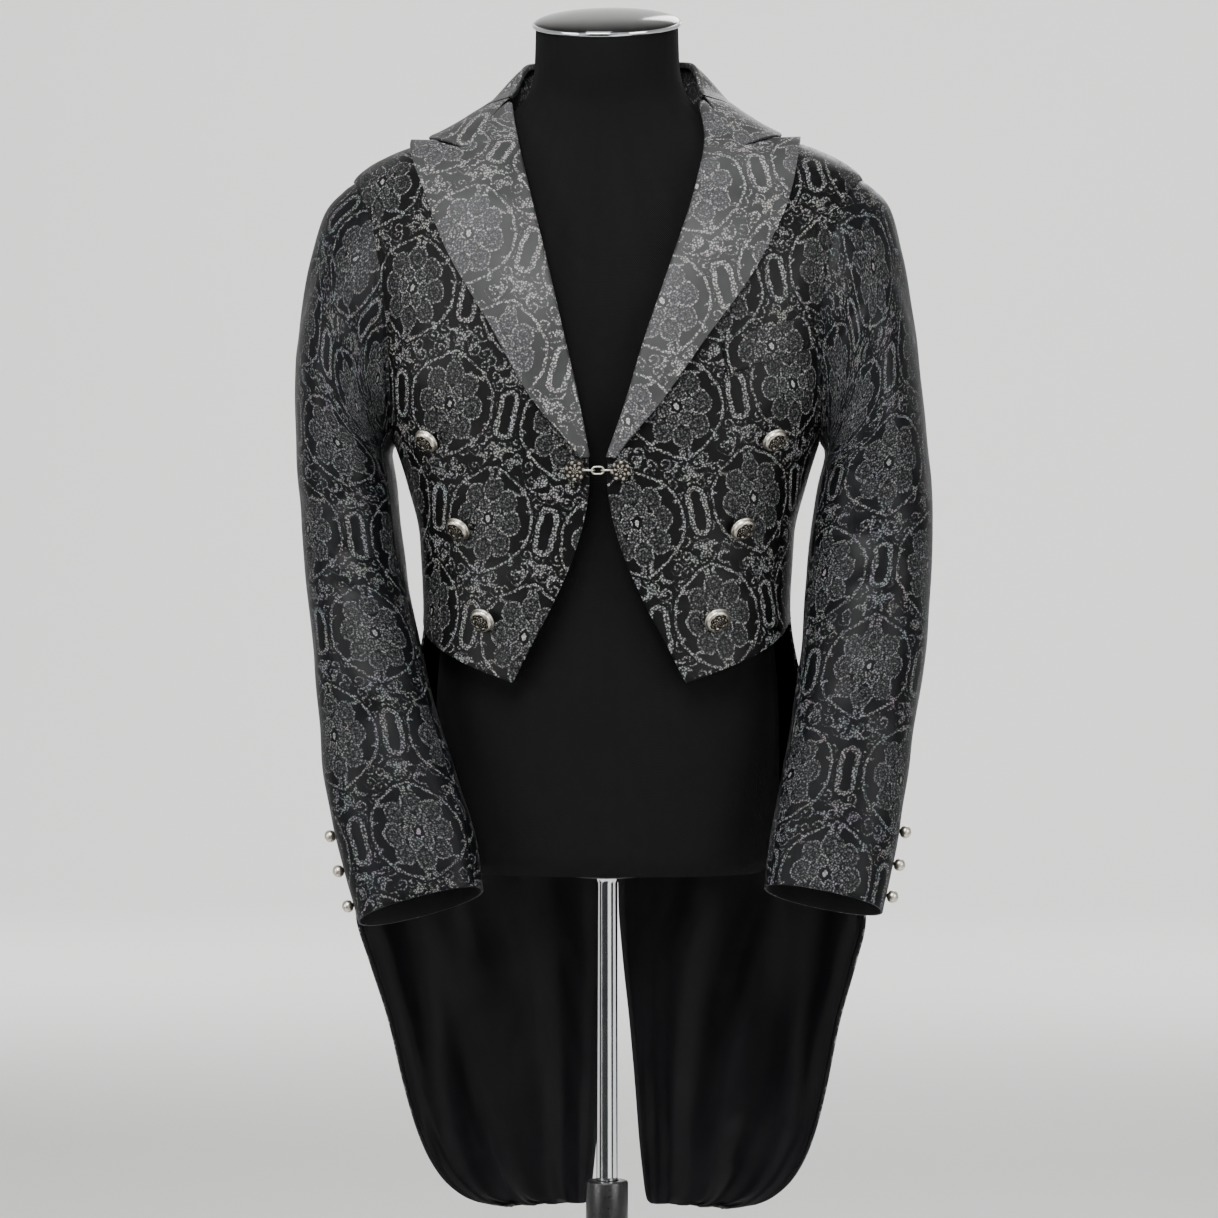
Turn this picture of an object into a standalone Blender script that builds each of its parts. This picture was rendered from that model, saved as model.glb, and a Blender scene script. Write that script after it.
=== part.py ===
"""A brocade tailcoat, filled out on a limbless dress form: its construction solids.

Metres, +Z up, +X to the wearer's left, and the coat faces -Y. The origin is the middle of the
base plate's underside. Left and right are the wearer's.

The coat's outer faces lie on one surface, named by a turn (0 at centre front, 90 at the side and
180 at centre back) and a height. Every panel is a range of that surface, and what lies on a panel
is made from the panel's own points, moved out along the surface's normal.
"""
from math import atan2, cos, pi, radians, sin

import bmesh
import bpy
from mathutils import Matrix, Vector

COLLECTION = "brocade_tailcoat"

# Cloth
WALL = 0.0020             # brocade with its interlining
LINING_WALL = 0.0010
SMOOTH_GAP = 0.0007       # between the outer faces of two panels that meet flat
RIDGE_GAP = 0.0013        # the same where the seam runs along a ridge
ARMHOLE_GAP = 0.0012      # between an armhole's edge and the sleeve head
GORGE_GAP = 0.0011        # sideways and upwards, between a lapel's top and the collar

# Heights of the coat
POINT_HEIGHT = 0.9715     # tip of each cutaway front
WAIST_HEIGHT = 1.0400     # waist seam, where back and side panels end and the tails begin
CLASP_HEIGHT = 1.1560
BREAK_HEIGHT = 1.1680     # where the lapels start to roll
SHOULDER_HEIGHT = 1.4200  # the shoulder seam's outer end
NECK_HEIGHT = 1.4880      # neck seam
HEM_HEIGHT = 0.4760       # tails' lowest edge
WAIST_SIDE_TURN = 96      # where the side seam meets the waist seam

# Stand
BASE_RADIUS, BASE_THICK, BASE_BEVEL = 0.175, 0.010, 0.003
TUBE_RADIUS, TUBE_BORE = 0.0160, 0.0101
TUBE_TOP = 0.4880
FLANGE_RADIUS, FLANGE_THICK = 0.034, 0.006   # at the tube's foot and the pole's head
BUSHING_RADIUS, BUSHING_TOP = 0.0190, 0.5220
POLE_RADIUS, POLE_FOOT = 0.0095, 0.2100
SEAT_GAP = 0.0003         # between two hard pieces that touch
CAP_RISE, CAP_RIM = 0.0130, 0.0036

# Buttons and clasp
FRONT_BUTTON_RADIUS, FRONT_BUTTON_HEIGHT = 0.0115, 0.0140
CUFF_BUTTON_RADIUS, CUFF_BUTTON_HEIGHT = 0.0056, 0.0104
BUTTON_DROOP, BUTTON_SPLAY = 0.70, 0.10   # a front button's lean down and outwards, per unit
BUTTON_LIFT = 0.0004      # under a front button's shank and the ornaments'
CUFF_BUTTON_LIFT = 0.0001
CLASP_THICK, CLASP_BEVEL = 0.0030, 0.0005
SHANK_RADIUS, SHANK_ASIDE = 0.0030, 0.0020   # under an ornament
LINK_WIRE = 0.0008        # radius of the chain's wire


class Table:
    """Rows under named columns, read between the rows by a smooth curve that never overshoots."""

    def __init__(self, columns, *rows):
        self.columns = columns.split()
        self.rows = rows

    def slope(self, row, column):
        """How fast a column changes at a row: none at an end of the table or at a peak."""
        if row in (0, len(self.rows) - 1):
            return 0.0 if len(self.rows) > 2 else self.rise(0, column)
        before, after = self.rise(row - 1, column), self.rise(row, column)
        if before * after <= 0:
            return 0.0
        return 2 * before * after / (before + after)

    def rise(self, row, column):
        here, there = self.rows[row], self.rows[row + 1]
        return (there[column] - here[column]) / (there[0] - here[0])

    def at(self, key):
        """The columns' values at this value of the first column, as a dictionary."""
        key = min(max(key, self.rows[0][0]), self.rows[-1][0])
        row = max(i for i in range(len(self.rows) - 1) if self.rows[i][0] <= key or i == 0)
        here, there = self.rows[row], self.rows[row + 1]
        span = there[0] - here[0]
        part = (key - here[0]) / span
        found = {}
        for column, name in enumerate(self.columns):
            enter = self.slope(row, column) if row else self.rise(0, column)
            last = row == len(self.rows) - 2
            leave = self.rise(row, column) if last else self.slope(row + 1, column)
            found[name] = (
                here[column] * (1 + 2 * part) * (1 - part) ** 2
                + enter * span * part * (1 - part) ** 2
                + there[column] * part * part * (3 - 2 * part)
                + leave * span * part * part * (part - 1)
            )
        return found


# Rings of the coat's outer face: half the width, the depths in front of and behind the middle,
# where the middle lies, and how square the ring is (2 is an ellipse).
COAT = Table(
    "height half front back middle square",
    (0.460, 0.2520, 0.150, 0.146, 0.020, 2.20),
    (0.600, 0.2460, 0.148, 0.142, 0.018, 2.20),
    (0.750, 0.2350, 0.142, 0.136, 0.014, 2.20),
    (0.860, 0.2080, 0.134, 0.130, 0.009, 2.20),
    (0.960, 0.1780, 0.124, 0.122, 0.004, 2.25),
    (1.036, 0.1650, 0.1180, 0.1120, 0.000, 2.30),
    (1.100, 0.1680, 0.1200, 0.1095, 0.000, 2.30),
    (1.150, 0.1800, 0.1250, 0.1125, 0.000, 2.35),
    (1.190, 0.1925, 0.1285, 0.1175, 0.000, 2.40),
    (1.230, 0.2040, 0.1295, 0.1220, 0.000, 2.50),
    (1.300, 0.2180, 0.1265, 0.1270, 0.002, 2.60),
    (1.350, 0.2270, 0.1185, 0.1250, 0.004, 2.65),
    (1.390, 0.2320, 0.1055, 0.1180, 0.006, 2.60),
    (1.4100, 0.2335, 0.0960, 0.1110, 0.008, 2.50),
    (1.4230, 0.2300, 0.0880, 0.1050, 0.008, 2.40),
    (1.4340, 0.2180, 0.0800, 0.0980, 0.008, 2.30),
    (1.4450, 0.1970, 0.0730, 0.0915, 0.007, 2.20),
    (1.4540, 0.1720, 0.0675, 0.0865, 0.006, 2.20),
    (1.4640, 0.1390, 0.0625, 0.0815, 0.005, 2.20),
    (1.4750, 0.1100, 0.0590, 0.0765, 0.004, 2.20),
    (1.4900, 0.0845, 0.0560, 0.0700, 0.002, 2.20),
)

# Rings of the dress form. lean tips a ring up towards the back.
FORM = Table(
    "height half front back middle square lean",
    (0.800, 0.1380, 0.0880, 0.0940, 0.006, 2.2, 0.0),
    (0.812, 0.1500, 0.0960, 0.1050, 0.006, 2.2, 0.0),
    (0.870, 0.1550, 0.1000, 0.1120, 0.006, 2.2, 0.0),
    (0.950, 0.1540, 0.0990, 0.1080, 0.004, 2.2, 0.0),
    (1.030, 0.1480, 0.0970, 0.0950, 0.002, 2.2, 0.0),
    (1.080, 0.1450, 0.0980, 0.0910, 0.000, 2.2, 0.0),
    (1.150, 0.1560, 0.1060, 0.0960, 0.000, 2.2, 0.0),
    (1.220, 0.1700, 0.1130, 0.1050, 0.000, 2.3, 0.0),
    (1.290, 0.1790, 0.1120, 0.1110, 0.002, 2.3, 0.0),
    (1.350, 0.1800, 0.1020, 0.1110, 0.004, 2.3, 0.0),
    (1.390, 0.1780, 0.0890, 0.1040, 0.006, 2.3, 0.0),
    (1.4150, 0.1740, 0.0780, 0.0950, 0.007, 2.2, 0.0),
    (1.4350, 0.1670, 0.0690, 0.0870, 0.007, 2.2, 0.0),
    (1.4500, 0.1550, 0.0620, 0.0800, 0.006, 2.2, 0.0),
    (1.4606, 0.1370, 0.0580, 0.0760, 0.005, 2.2, 0.0),
    (1.4716, 0.1080, 0.0560, 0.0720, 0.004, 2.2, 0.0),
    (1.4846, 0.0830, 0.0550, 0.0660, 0.003, 2.1, 0.02),
    (1.5000, 0.0710, 0.0570, 0.0610, 0.002, 2.0, 0.07),
    (1.5200, 0.0655, 0.0600, 0.0610, 0.001, 2.0, 0.16),
    (1.5600, 0.0640, 0.0640, 0.0640, 0.000, 2.0, 0.30),
)
FORM_BETWEEN = (0.91, 0.99, 1.115, 1.185, 1.255, 1.32, 1.54)   # heights of its further rings

# Each cutaway front's edge below the lapels.
FRONT_EDGE = Table(
    "height across",
    (POINT_HEIGHT, 0.0760),
    (0.9828, 0.0700),
    (1.0044, 0.0590),
    (1.0323, 0.0440),
    (1.0755, 0.0243),
    (1.1016, 0.0155),
    (1.1286, 0.0095),
    (1.1450, 0.0078),
    (BREAK_HEIGHT, 0.0085),
)

# The lapels: the line where they roll, and their outer edge, measured from the middle.
LAPEL = {
    1: Table(
        "height roll edge",
        (BREAK_HEIGHT, 0.0100, 0.0130),
        (1.2132, 0.0260, 0.0525),
        (1.2700, 0.0430, 0.0925),
        (1.3374, 0.0655, 0.1380),
        (1.4058, 0.0860, 0.1675),
        (1.4517, 0.0930, 0.1740),
        (NECK_HEIGHT, 0.0866, 0.1740),
    ),
    -1: Table(
        "height roll edge",
        (BREAK_HEIGHT, 0.0100, 0.0130),
        (1.2204, 0.0200, 0.0579),
        (1.2850, 0.0350, 0.0944),
        (1.3490, 0.0505, 0.1323),
        (1.4020, 0.0650, 0.1540),
        (1.4500, 0.0780, 0.1710),
        (NECK_HEIGHT, 0.0866, 0.1710),
    ),
}
# Along a lapel's top from the neck, down the gorge seam to the notch and out to the peak.
LAPEL_TOP = Table(
    "part across height",
    (0.00, 0.0862, 1.4874),
    (0.25, 0.1030, 1.4650),
    (0.50, 0.1225, 1.4400),
    (0.80, 0.1520, 1.4478),
    (1.00, 0.1720, 1.4500),
)
LAPEL_TOP_SHARE = 0.45    # of a lapel's length, over which its rows bend to its top
LAPEL_STAND = 0.0043      # outer face of a lapel over the front's outer face, at its edges
LAPEL_BELLY = 0.0030      # and how much more in its middle

# The collar's fall lies between its fold and its edge, both named on the coat's surface. The
# fold rises over the neck seam by its lift. Station 0 is the notch, up to station 3 the fold
# follows the gorge seam, and 7 is centre back.
COLLAR = Table(
    "station fold_turn fold_lift edge_turn edge_height",
    (0, 34, 0.0000, 58.6, 1.4520),
    (1, 48, 0.0000, 70, 1.4580),
    (2, 63, 0.0010, 80, 1.4610),
    (3, 79, 0.0040, 91, 1.4640),
    (4, 100, 0.0160, 106, 1.4665),
    (5, 124, 0.0420, 127, 1.4705),
    (6, 152, 0.0460, 153, 1.4765),
    (7, 180, 0.0470, 180, 1.4815),
)
COLLAR_END, GORGE_STATIONS = 7, 3
STAND_START = 3.5         # the station where the collar's stand begins
STAND_DROP = 0.0046       # from the fold down to the stand's top
COLLAR_BELLY = 0.0070

# The sleeves: each ring lies across an outer and an inner point, with its middle's depth and
# half its depth from front to back. tilt drops a ring towards its back. Station 0 is the armhole.
SLEEVE = {
    1: Table(
        "station outer_x outer_z inner_x inner_z middle deep tilt",
        (0, 0.2325, SHOULDER_HEIGHT, 0.1935, 1.1850, 0.002, 0.0750, 0.00),
        (1, 0.2530, 1.3980, 0.1950, 1.1820, 0.002, 0.0760, 0.00),
        (2, 0.2655, 1.3540, 0.1960, 1.1785, 0.001, 0.0765, 0.00),
        (3, 0.2745, 1.3000, 0.1960, 1.1745, 0.000, 0.0765, 0.00),
        (4, 0.2815, 1.2400, 0.1945, 1.1670, -0.002, 0.0750, 0.00),
        (5, 0.2880, 1.1800, 0.1895, 1.1480, -0.006, 0.0700, 0.02),
        (6, 0.2922, 1.1250, 0.1830, 1.1050, -0.013, 0.0640, 0.06),
        (7, 0.2900, 1.0650, 0.1790, 1.0550, -0.026, 0.0600, 0.12),
        (8, 0.2863, 1.0100, 0.1750, 1.0050, -0.042, 0.0560, 0.20),
        (9, 0.2775, 0.9500, 0.1685, 0.9500, -0.060, 0.0500, 0.26),
        (10, 0.2690, 0.8930, 0.1590, 0.8950, -0.076, 0.0430, 0.30),
        (11, 0.2600, 0.8350, 0.1500, 0.8450, -0.092, 0.0380, 0.32),
        (12, 0.2465, 0.7730, 0.1436, 0.7930, -0.108, 0.0340, 0.32),
    ),
    -1: Table(
        "station outer_x outer_z inner_x inner_z middle deep tilt",
        (0, 0.2325, SHOULDER_HEIGHT, 0.1935, 1.1850, 0.002, 0.0750, 0.00),
        (1, 0.2540, 1.3960, 0.1950, 1.1820, 0.002, 0.0760, 0.00),
        (2, 0.2680, 1.3500, 0.1960, 1.1785, 0.001, 0.0765, 0.00),
        (3, 0.2770, 1.2950, 0.1960, 1.1745, 0.000, 0.0765, 0.00),
        (4, 0.2805, 1.2350, 0.1945, 1.1670, -0.002, 0.0755, 0.00),
        (5, 0.2790, 1.1750, 0.1905, 1.1480, -0.006, 0.0720, 0.02),
        (6, 0.2740, 1.1200, 0.1850, 1.1050, -0.014, 0.0670, 0.06),
        (7, 0.2690, 1.0700, 0.1770, 1.0550, -0.027, 0.0620, 0.12),
        (8, 0.2600, 1.0150, 0.1630, 1.0050, -0.046, 0.0560, 0.20),
        (9, 0.2525, 0.9500, 0.1480, 0.9500, -0.066, 0.0500, 0.26),
        (10, 0.2450, 0.8900, 0.1285, 0.8950, -0.084, 0.0430, 0.30),
        (11, 0.2310, 0.8300, 0.1110, 0.8450, -0.100, 0.0380, 0.32),
        (12, 0.2105, 0.7616, 0.1010, 0.7912, -0.114, 0.0340, 0.32),
    ),
}
SLEEVE_HEAD, SLEEVE_END = 4, 12   # the stations where the sleeve head ends, and the cuff
SLEEVE_ROWS = (0, 0.5, 1, 1.5, 2, 2.5, 3, 3.5, 4, 4.5, 5, 6, 7, 8, 9, 10, 11, 12)
SLEEVE_SQUARE = 2.2
FORE_SEAM = 152           # degrees round a sleeve from its outer point, over the front
HIND_SEAM = (-75, -24)    # the same for the back seam, at the armhole and at the cuff

# Each tail's vent edge and outer edge, measured from the middle.
TAIL = Table(
    "height vent edge",
    (HEM_HEIGHT, 0.0300, 0.1080),
    (0.4790, 0.0270, 0.1300),
    (0.4880, 0.0250, 0.1480),
    (0.5050, 0.0230, 0.1640),
    (0.5350, 0.0200, 0.1790),
    (0.5900, 0.0160, 0.1960),
    (0.6500, 0.0110, 0.2100),
    (0.7100, 0.0050, 0.2240),
    (0.7600, 0.0015, 0.2310),
    (0.8600, 0.0005, 0.2080),
    (WAIST_HEIGHT, 0.0005, 0.1640),
)
TAIL_ROWS = (
    1.0394, 0.980, 0.920, 0.860, 0.800, 0.745, 0.690, 0.630, 0.570, 0.525, 0.498, 0.483, HEM_HEIGHT,
)
TAIL_COLUMNS = 11
FLUTE_TURN = 34           # degrees round the coat from one soft fold of a tail to the next
FLUTE_DEPTH = 0.0060      # of those folds, at the hem
LINING_INSET = 0.02       # share of a tail's width by which its lining is narrower at each side
LINING_GAP = 0.0009

# Where the front buttons sit: across and height. The cuff buttons sit by station.
FRONT_BUTTONS = ((0.148, 1.189), (0.1205, 1.1115), (0.099, 1.031))
CUFF_BUTTONS = (10.85, 11.32, 11.76)
CUFF_BUTTON_TURN = 20     # degrees in front of the back seam
# The breast welt's corners, across and height: lower inner and outer, upper inner and outer.
WELT = ((0.1110, 1.2380), (0.1830, 1.2650), (0.1075, 1.2690), (0.1845, 1.2940))
WELT_WALL, WELT_STAND = 0.0015, 0.0024

# The clasp's cast ornaments and the links between them.
ORNAMENT_ACROSS = 0.0195
ORNAMENT_RADIUS, ORNAMENT_LOBES, ORNAMENT_LOBE_DEPTH = 0.0098, 6, 0.14
ORNAMENT_LIFT = 0.0046    # its middle over the front's outer face, on its shank
EYE_INSET, EYE_RADIUS = 0.0012, 0.0020
LINK_LENGTH, LINK_WIDTH = 0.0104, 0.0062     # between the middles of the wire
LINK_PITCH = 0.0082

COLOURS = {
    "brocade": ((0.035, 0.036, 0.040), 0.55, 0.0),
    "satin": ((0.012, 0.011, 0.013), 0.35, 0.0),
    "form": ((0.012, 0.012, 0.013), 0.75, 0.0),
    "cap": ((0.010, 0.010, 0.010), 0.15, 0.0),
    "silver": ((0.50, 0.48, 0.45), 0.35, 1.0),
    "chrome": ((0.75, 0.75, 0.77), 0.10, 1.0),
    "stand": ((0.015, 0.015, 0.016), 0.40, 0.0),
}


# The coat's surface

def ring_point(ring, turn):
    """A point of a squarish ring, in its own plane, at a turn in radians from -Y towards +X."""
    across, along = sin(turn), cos(turn)
    reach = (abs(across) ** ring["square"] + abs(along) ** ring["square"]) ** (-1 / ring["square"])
    depth = ring["front"] if along > 0 else ring["back"]
    return ring["half"] * reach * across, ring["middle"] - depth * reach * along


def coat_point(turn, height, out=0.0):
    """A point of the coat's surface, on the left side, moved out along the normal."""
    here = Vector((*ring_point(COAT.at(height), radians(turn)), height))
    if not out:
        return here
    step = 0.02
    round_it = Vector((*ring_point(COAT.at(height), radians(turn + step)), height)) - here
    up = Vector((*ring_point(COAT.at(height + 0.0002), radians(turn)), height + 0.0002)) - here
    return here + out * round_it.cross(up).normalized()


def turn_across(across, height):
    """The turn, in front of the side, at which the coat's surface lies so far from the middle."""
    ring = COAT.at(height)
    share = min(across / ring["half"], 1.0)
    rest = (1 - share ** ring["square"]) ** (1 / ring["square"])
    return atan2(share, rest) * 180 / pi


def turn_deep(deep, height):
    """The turn at which the coat's surface lies at this depth, as a Y value."""
    ring = COAT.at(height)
    ahead = ring["middle"] - deep
    share = min(abs(ahead) / (ring["front"] if ahead > 0 else ring["back"]), 1.0)
    side = (1 - share ** ring["square"]) ** (1 / ring["square"])
    turn = atan2(side, share) * 180 / pi
    return turn if ahead > 0 else 180 - turn


def gap_turn(gap, turn, height):
    """The change of turn that moves a point along its ring by this gap."""
    one = (coat_point(turn + 0.5, height) - coat_point(turn - 0.5, height)).length
    return gap / one


def armhole(angle, grow=0.0):
    """The armhole's depth and height at an angle from its top over the front, in radians."""
    ring = SLEEVE[1].at(0)
    reach = (abs(cos(angle)) ** SLEEVE_SQUARE + abs(sin(angle)) ** SLEEVE_SQUARE)
    reach = reach ** (-1 / SLEEVE_SQUARE)
    high = (ring["outer_z"] - ring["inner_z"]) / 2 + grow
    deep = ring["middle"] - (ring["deep"] + grow) * reach * sin(angle)
    return deep, (ring["outer_z"] + ring["inner_z"]) / 2 + high * reach * cos(angle)


# Making objects

def add_object(name, mesh, finish):
    thing = bpy.data.objects.new(name, mesh)
    bpy.data.collections[COLLECTION].objects.link(thing)
    thing.data.materials.append(bpy.data.materials[finish])
    return thing


def shade(mesh, angle=40):
    mesh.shade_smooth()
    mesh.set_sharp_from_angle(angle=radians(angle))


def sheet(name, rows, finish, wall=WALL, flip=False):
    """A wall of cloth. rows are lists of points; the wall grows inwards from its outer face."""
    across, up = len(rows[0]) - 1, len(rows) - 1
    grid = bmesh.new()
    bmesh.ops.create_grid(grid, x_segments=across, y_segments=up, size=0.5)
    for point in grid.verts:
        column = round((point.co.x + 0.5) * across)
        row = round((point.co.y + 0.5) * up)
        point.co = rows[row][column]
    if flip:
        bmesh.ops.reverse_faces(grid, faces=grid.faces)
    mesh = bpy.data.meshes.new(name)
    grid.to_mesh(mesh)
    grid.free()
    shade(mesh)
    thing = add_object(name, mesh, finish)
    solid = thing.modifiers.new("Wall", "SOLIDIFY")
    solid.thickness = wall
    solid.offset = -1.0
    solid.use_even_offset = True
    return thing


def loft(name, rings, finish):
    """A closed solid through rings of points, each ring turning from -Y towards +X."""
    shape = bmesh.new()
    rounds = [[shape.verts.new(point) for point in ring] for ring in rings]
    count = len(rounds[0])
    for lower, upper in zip(rounds, rounds[1:]):
        for k in range(count):
            after = (k + 1) % count
            shape.faces.new((lower[k], lower[after], upper[after], upper[k]))
    shape.faces.new(reversed(rounds[0]))
    shape.faces.new(rounds[-1])
    mesh = bpy.data.meshes.new(name)
    shape.to_mesh(mesh)
    shape.free()
    shade(mesh)
    return add_object(name, mesh, finish)


def turned(name, profile, finish, steps=24, place=None):
    """A solid turned about Z from a profile of radii and heights that runs from top to bottom."""
    mesh = bpy.data.meshes.new(name)
    points = [(radius, 0, height) for radius, height in profile]
    closed = profile[0][0] > 0
    edges = [(k, k + 1) for k in range(len(points) - 1)]
    if closed:
        edges.append((len(points) - 1, 0))
    mesh.from_pydata(points, edges, [])
    thing = add_object(name, mesh, finish)
    screw = thing.modifiers.new("Turn", "SCREW")
    screw.steps = screw.render_steps = steps
    screw.use_merge_vertices = True
    screw.merge_threshold = 0.00001
    screw.use_smooth_shade = True
    if place:
        thing.matrix_world = place
    return thing


def mirrored(points, side):
    """The points of the left side, or their mirror images for the right side."""
    return [[Vector((side * p.x, p.y, p.z)) for p in row] for row in points]


def between(first, last, part):
    return first + (last - first) * part


def spread(count):
    return [k / count for k in range(count + 1)]


# Panels

def ruled(left, right, columns, out=0.0):
    """Rows of points on the coat's surface, each from a left turn and height to a right one."""
    return [
        [coat_point(between(a[0], b[0], t), between(a[1], b[1], t), out) for t in spread(columns)]
        for a, b in zip(left, right)
    ]


def side_seam(part, gap):
    """The side seam between the waist and the armpit, with the gap on one side of it."""
    height = between(WAIST_HEIGHT, armhole(pi, ARMHOLE_GAP)[1], part)
    turn = between(WAIST_SIDE_TURN, turn_deep(SLEEVE[1].at(0)["middle"], height), part)
    return turn + gap_turn(gap, turn, height), height


def make_front(side, name):
    """Between the cutaway edge and roll line, and the side seam and armhole."""
    edge, seam = [], []
    for t in spread(9):
        height = between(POINT_HEIGHT, BREAK_HEIGHT, t)
        edge.append((turn_across(FRONT_EDGE.at(height)["across"], height), height))
        seam.append(side_seam(t, -SMOOTH_GAP / 2))
    for part in spread(14)[1:]:
        t = 1 - (1 - part) ** 1.5
        height = between(BREAK_HEIGHT, NECK_HEIGHT, t)
        edge.append((turn_across(LAPEL[side].at(height)["roll"], height), height))
        deep, height = armhole(pi * (1 - t), ARMHOLE_GAP)
        seam.append((turn_deep(deep, height), height))
    edge[-1] = (90 - gap_turn(RIDGE_GAP / 2, 90, NECK_HEIGHT), NECK_HEIGHT)
    top = seam[-1][1]
    seam[-1] = (90 - gap_turn(RIDGE_GAP / 2, 90, top), top)
    sheet(name, mirrored(ruled(edge, seam, 8), side), "brocade", flip=side < 0)


def make_back(side, name):
    """From the waist seam to the neck, between the side seam and the centre-back seam."""
    seam = [side_seam(t, SMOOTH_GAP / 2) for t in spread(6)]
    heights = [height for turn, height in seam]
    armpit = heights[-1]
    for t in spread(10)[1:]:
        deep, height = armhole(pi * (1 + t), ARMHOLE_GAP)
        seam.append((turn_deep(deep, height), height))
        heights.append(between(armpit, SHOULDER_HEIGHT, t))
    seam.pop()
    heights.pop()
    start = armhole(0, ARMHOLE_GAP)[1]
    for t in spread(4):
        height = between(start, NECK_HEIGHT, t)
        seam.append((90 + gap_turn(RIDGE_GAP / 2, 90, height), height))
        heights.append(height)
    middle = [(180 - gap_turn(SMOOTH_GAP / 2, 180, height), height) for height in heights]
    sheet(name, mirrored(ruled(seam, middle, 8), side), "brocade", flip=side < 0)


def lapel_rows(side, rows, columns):
    """A lapel between its roll line and its edge, with its rows bent to the notched top."""
    top_roll, top_edge = LAPEL_TOP.at(0), LAPEL_TOP.at(1)
    last_roll = LAPEL[side].at(top_roll["height"])["roll"]
    last_edge = LAPEL[side].at(top_edge["height"])["edge"]
    found = []
    for part in spread(rows):
        s = 1 - (1 - part) ** 1.3
        roll_height = between(BREAK_HEIGHT, top_roll["height"], s)
        edge_height = between(BREAK_HEIGHT, top_edge["height"], s)
        roll, edge = LAPEL[side].at(roll_height)["roll"], LAPEL[side].at(edge_height)["edge"]
        bend = max(0, (s - 1 + LAPEL_TOP_SHARE) / LAPEL_TOP_SHARE)
        bend = bend * bend * (3 - 2 * bend)
        row = []
        for t in spread(columns):
            top = LAPEL_TOP.at(t)
            shift = top["across"] - between(last_roll, last_edge, t)
            across = between(roll, edge, t) + bend * shift
            height = between(roll_height, edge_height, t)
            height += bend * (top["height"] - between(top_roll["height"], top_edge["height"], t))
            belly = LAPEL_BELLY * sin(pi * t) * min(1, 4 * s)
            row.append(coat_point(turn_across(across, height), height, LAPEL_STAND + belly))
        found.append(row)
    return found


def make_lapel(side, name):
    rows = lapel_rows(side, 14, 8)
    sheet(name, mirrored(rows, side), "brocade", flip=side < 0)


def fold_point(station):
    """The collar's fold on the left side: along the gorge seam, then rising behind the neck."""
    row = COLLAR.at(station)
    seat = LAPEL_STAND * max(0, 1 - row["fold_lift"] / COLLAR.at(4)["fold_lift"])
    if station < GORGE_STATIONS:
        gorge = LAPEL_TOP.at(0.5 * (1 - station / GORGE_STATIONS))
        height = gorge["height"] + GORGE_GAP
        point = coat_point(turn_across(gorge["across"] + GORGE_GAP, height), height, seat)
    else:
        point = coat_point(row["fold_turn"], NECK_HEIGHT, seat)
    return point + Vector((0, 0, row["fold_lift"]))


def fall_row(station, columns):
    """The collar's fall at a station, bowed out between its fold and its edge."""
    row = COLLAR.at(station)
    fold = fold_point(station)
    edge = coat_point(row["edge_turn"], row["edge_height"], LAPEL_STAND)
    rise = coat_point(row["edge_turn"], row["edge_height"], LAPEL_STAND + 0.001) - edge
    bow = (fold + edge) / 2 + rise.normalized() * COLLAR_BELLY + Vector((0, 0, row["fold_lift"] / 4))
    return [fold * (1 - t) ** 2 + bow * 2 * t * (1 - t) + edge * t * t for t in spread(columns)]


def stand_row(station, columns):
    """The collar's stand, from the neck seam up to just under the fold."""
    foot = coat_point(COLLAR.at(station)["fold_turn"], NECK_HEIGHT + SMOOTH_GAP)
    top = fold_point(station) - Vector((0, 0, STAND_DROP))
    return [between(foot, top, t) for t in spread(columns)]


def both_sides(row_at, first, count, columns):
    """Rows from centre back round to the left, and their mirror images before them."""
    left = [row_at(between(COLLAR_END, first, t), columns) for t in spread(count)]
    right = [[Vector((-p.x, p.y, p.z)) for p in row] for row in left[1:]]
    return right[::-1] + left


def make_collar():
    sheet("collar_fall", both_sides(fall_row, 0, 14, 4), "brocade")
    sheet("collar_stand", both_sides(stand_row, STAND_START, 7, 1), "brocade", flip=True)


def make_welt():
    low_in, low_out, high_in, high_out = WELT
    rows = []
    for s in spread(2):
        row = []
        for t in spread(6):
            across, height = [
                between(between(low_in[k], low_out[k], t), between(high_in[k], high_out[k], t), s)
                for k in (0, 1)
            ]
            row.append(coat_point(turn_across(across, height), height, WELT_STAND))
        rows.append(row)
    sheet("breast_welt", rows, "brocade", wall=WELT_WALL)


# Sleeves

def sleeve_ring(side, station, angle):
    """A point of a sleeve's plain ring, at an angle in radians from its outer point."""
    ring = SLEEVE[side].at(station)
    reach = (abs(cos(angle)) ** SLEEVE_SQUARE + abs(sin(angle)) ** SLEEVE_SQUARE)
    reach = reach ** (-1 / SLEEVE_SQUARE)
    along, ahead = reach * cos(angle), ring["deep"] * reach * sin(angle)
    return Vector((
        (ring["outer_x"] + ring["inner_x"]) / 2 + (ring["outer_x"] - ring["inner_x"]) / 2 * along,
        ring["middle"] - ahead,
        (ring["outer_z"] + ring["inner_z"]) / 2 + (ring["outer_z"] - ring["inner_z"]) / 2 * along
        + ring["tilt"] * ahead,
    ))


def sleeve_point(side, station, angle):
    """A point of a sleeve's outer face, whose head runs into the armhole."""
    angle = radians(angle)
    point = sleeve_ring(side, station, angle)
    if station < SLEEVE_HEAD:
        deep, height = armhole(angle)
        seat = coat_point(turn_deep(deep, height), height)
        point += (seat - sleeve_ring(side, 0, angle)) * (1 - station / SLEEVE_HEAD) ** 2
    return point


def hind_angle(station):
    return between(HIND_SEAM[0], HIND_SEAM[1], station / SLEEVE_END)


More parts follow.
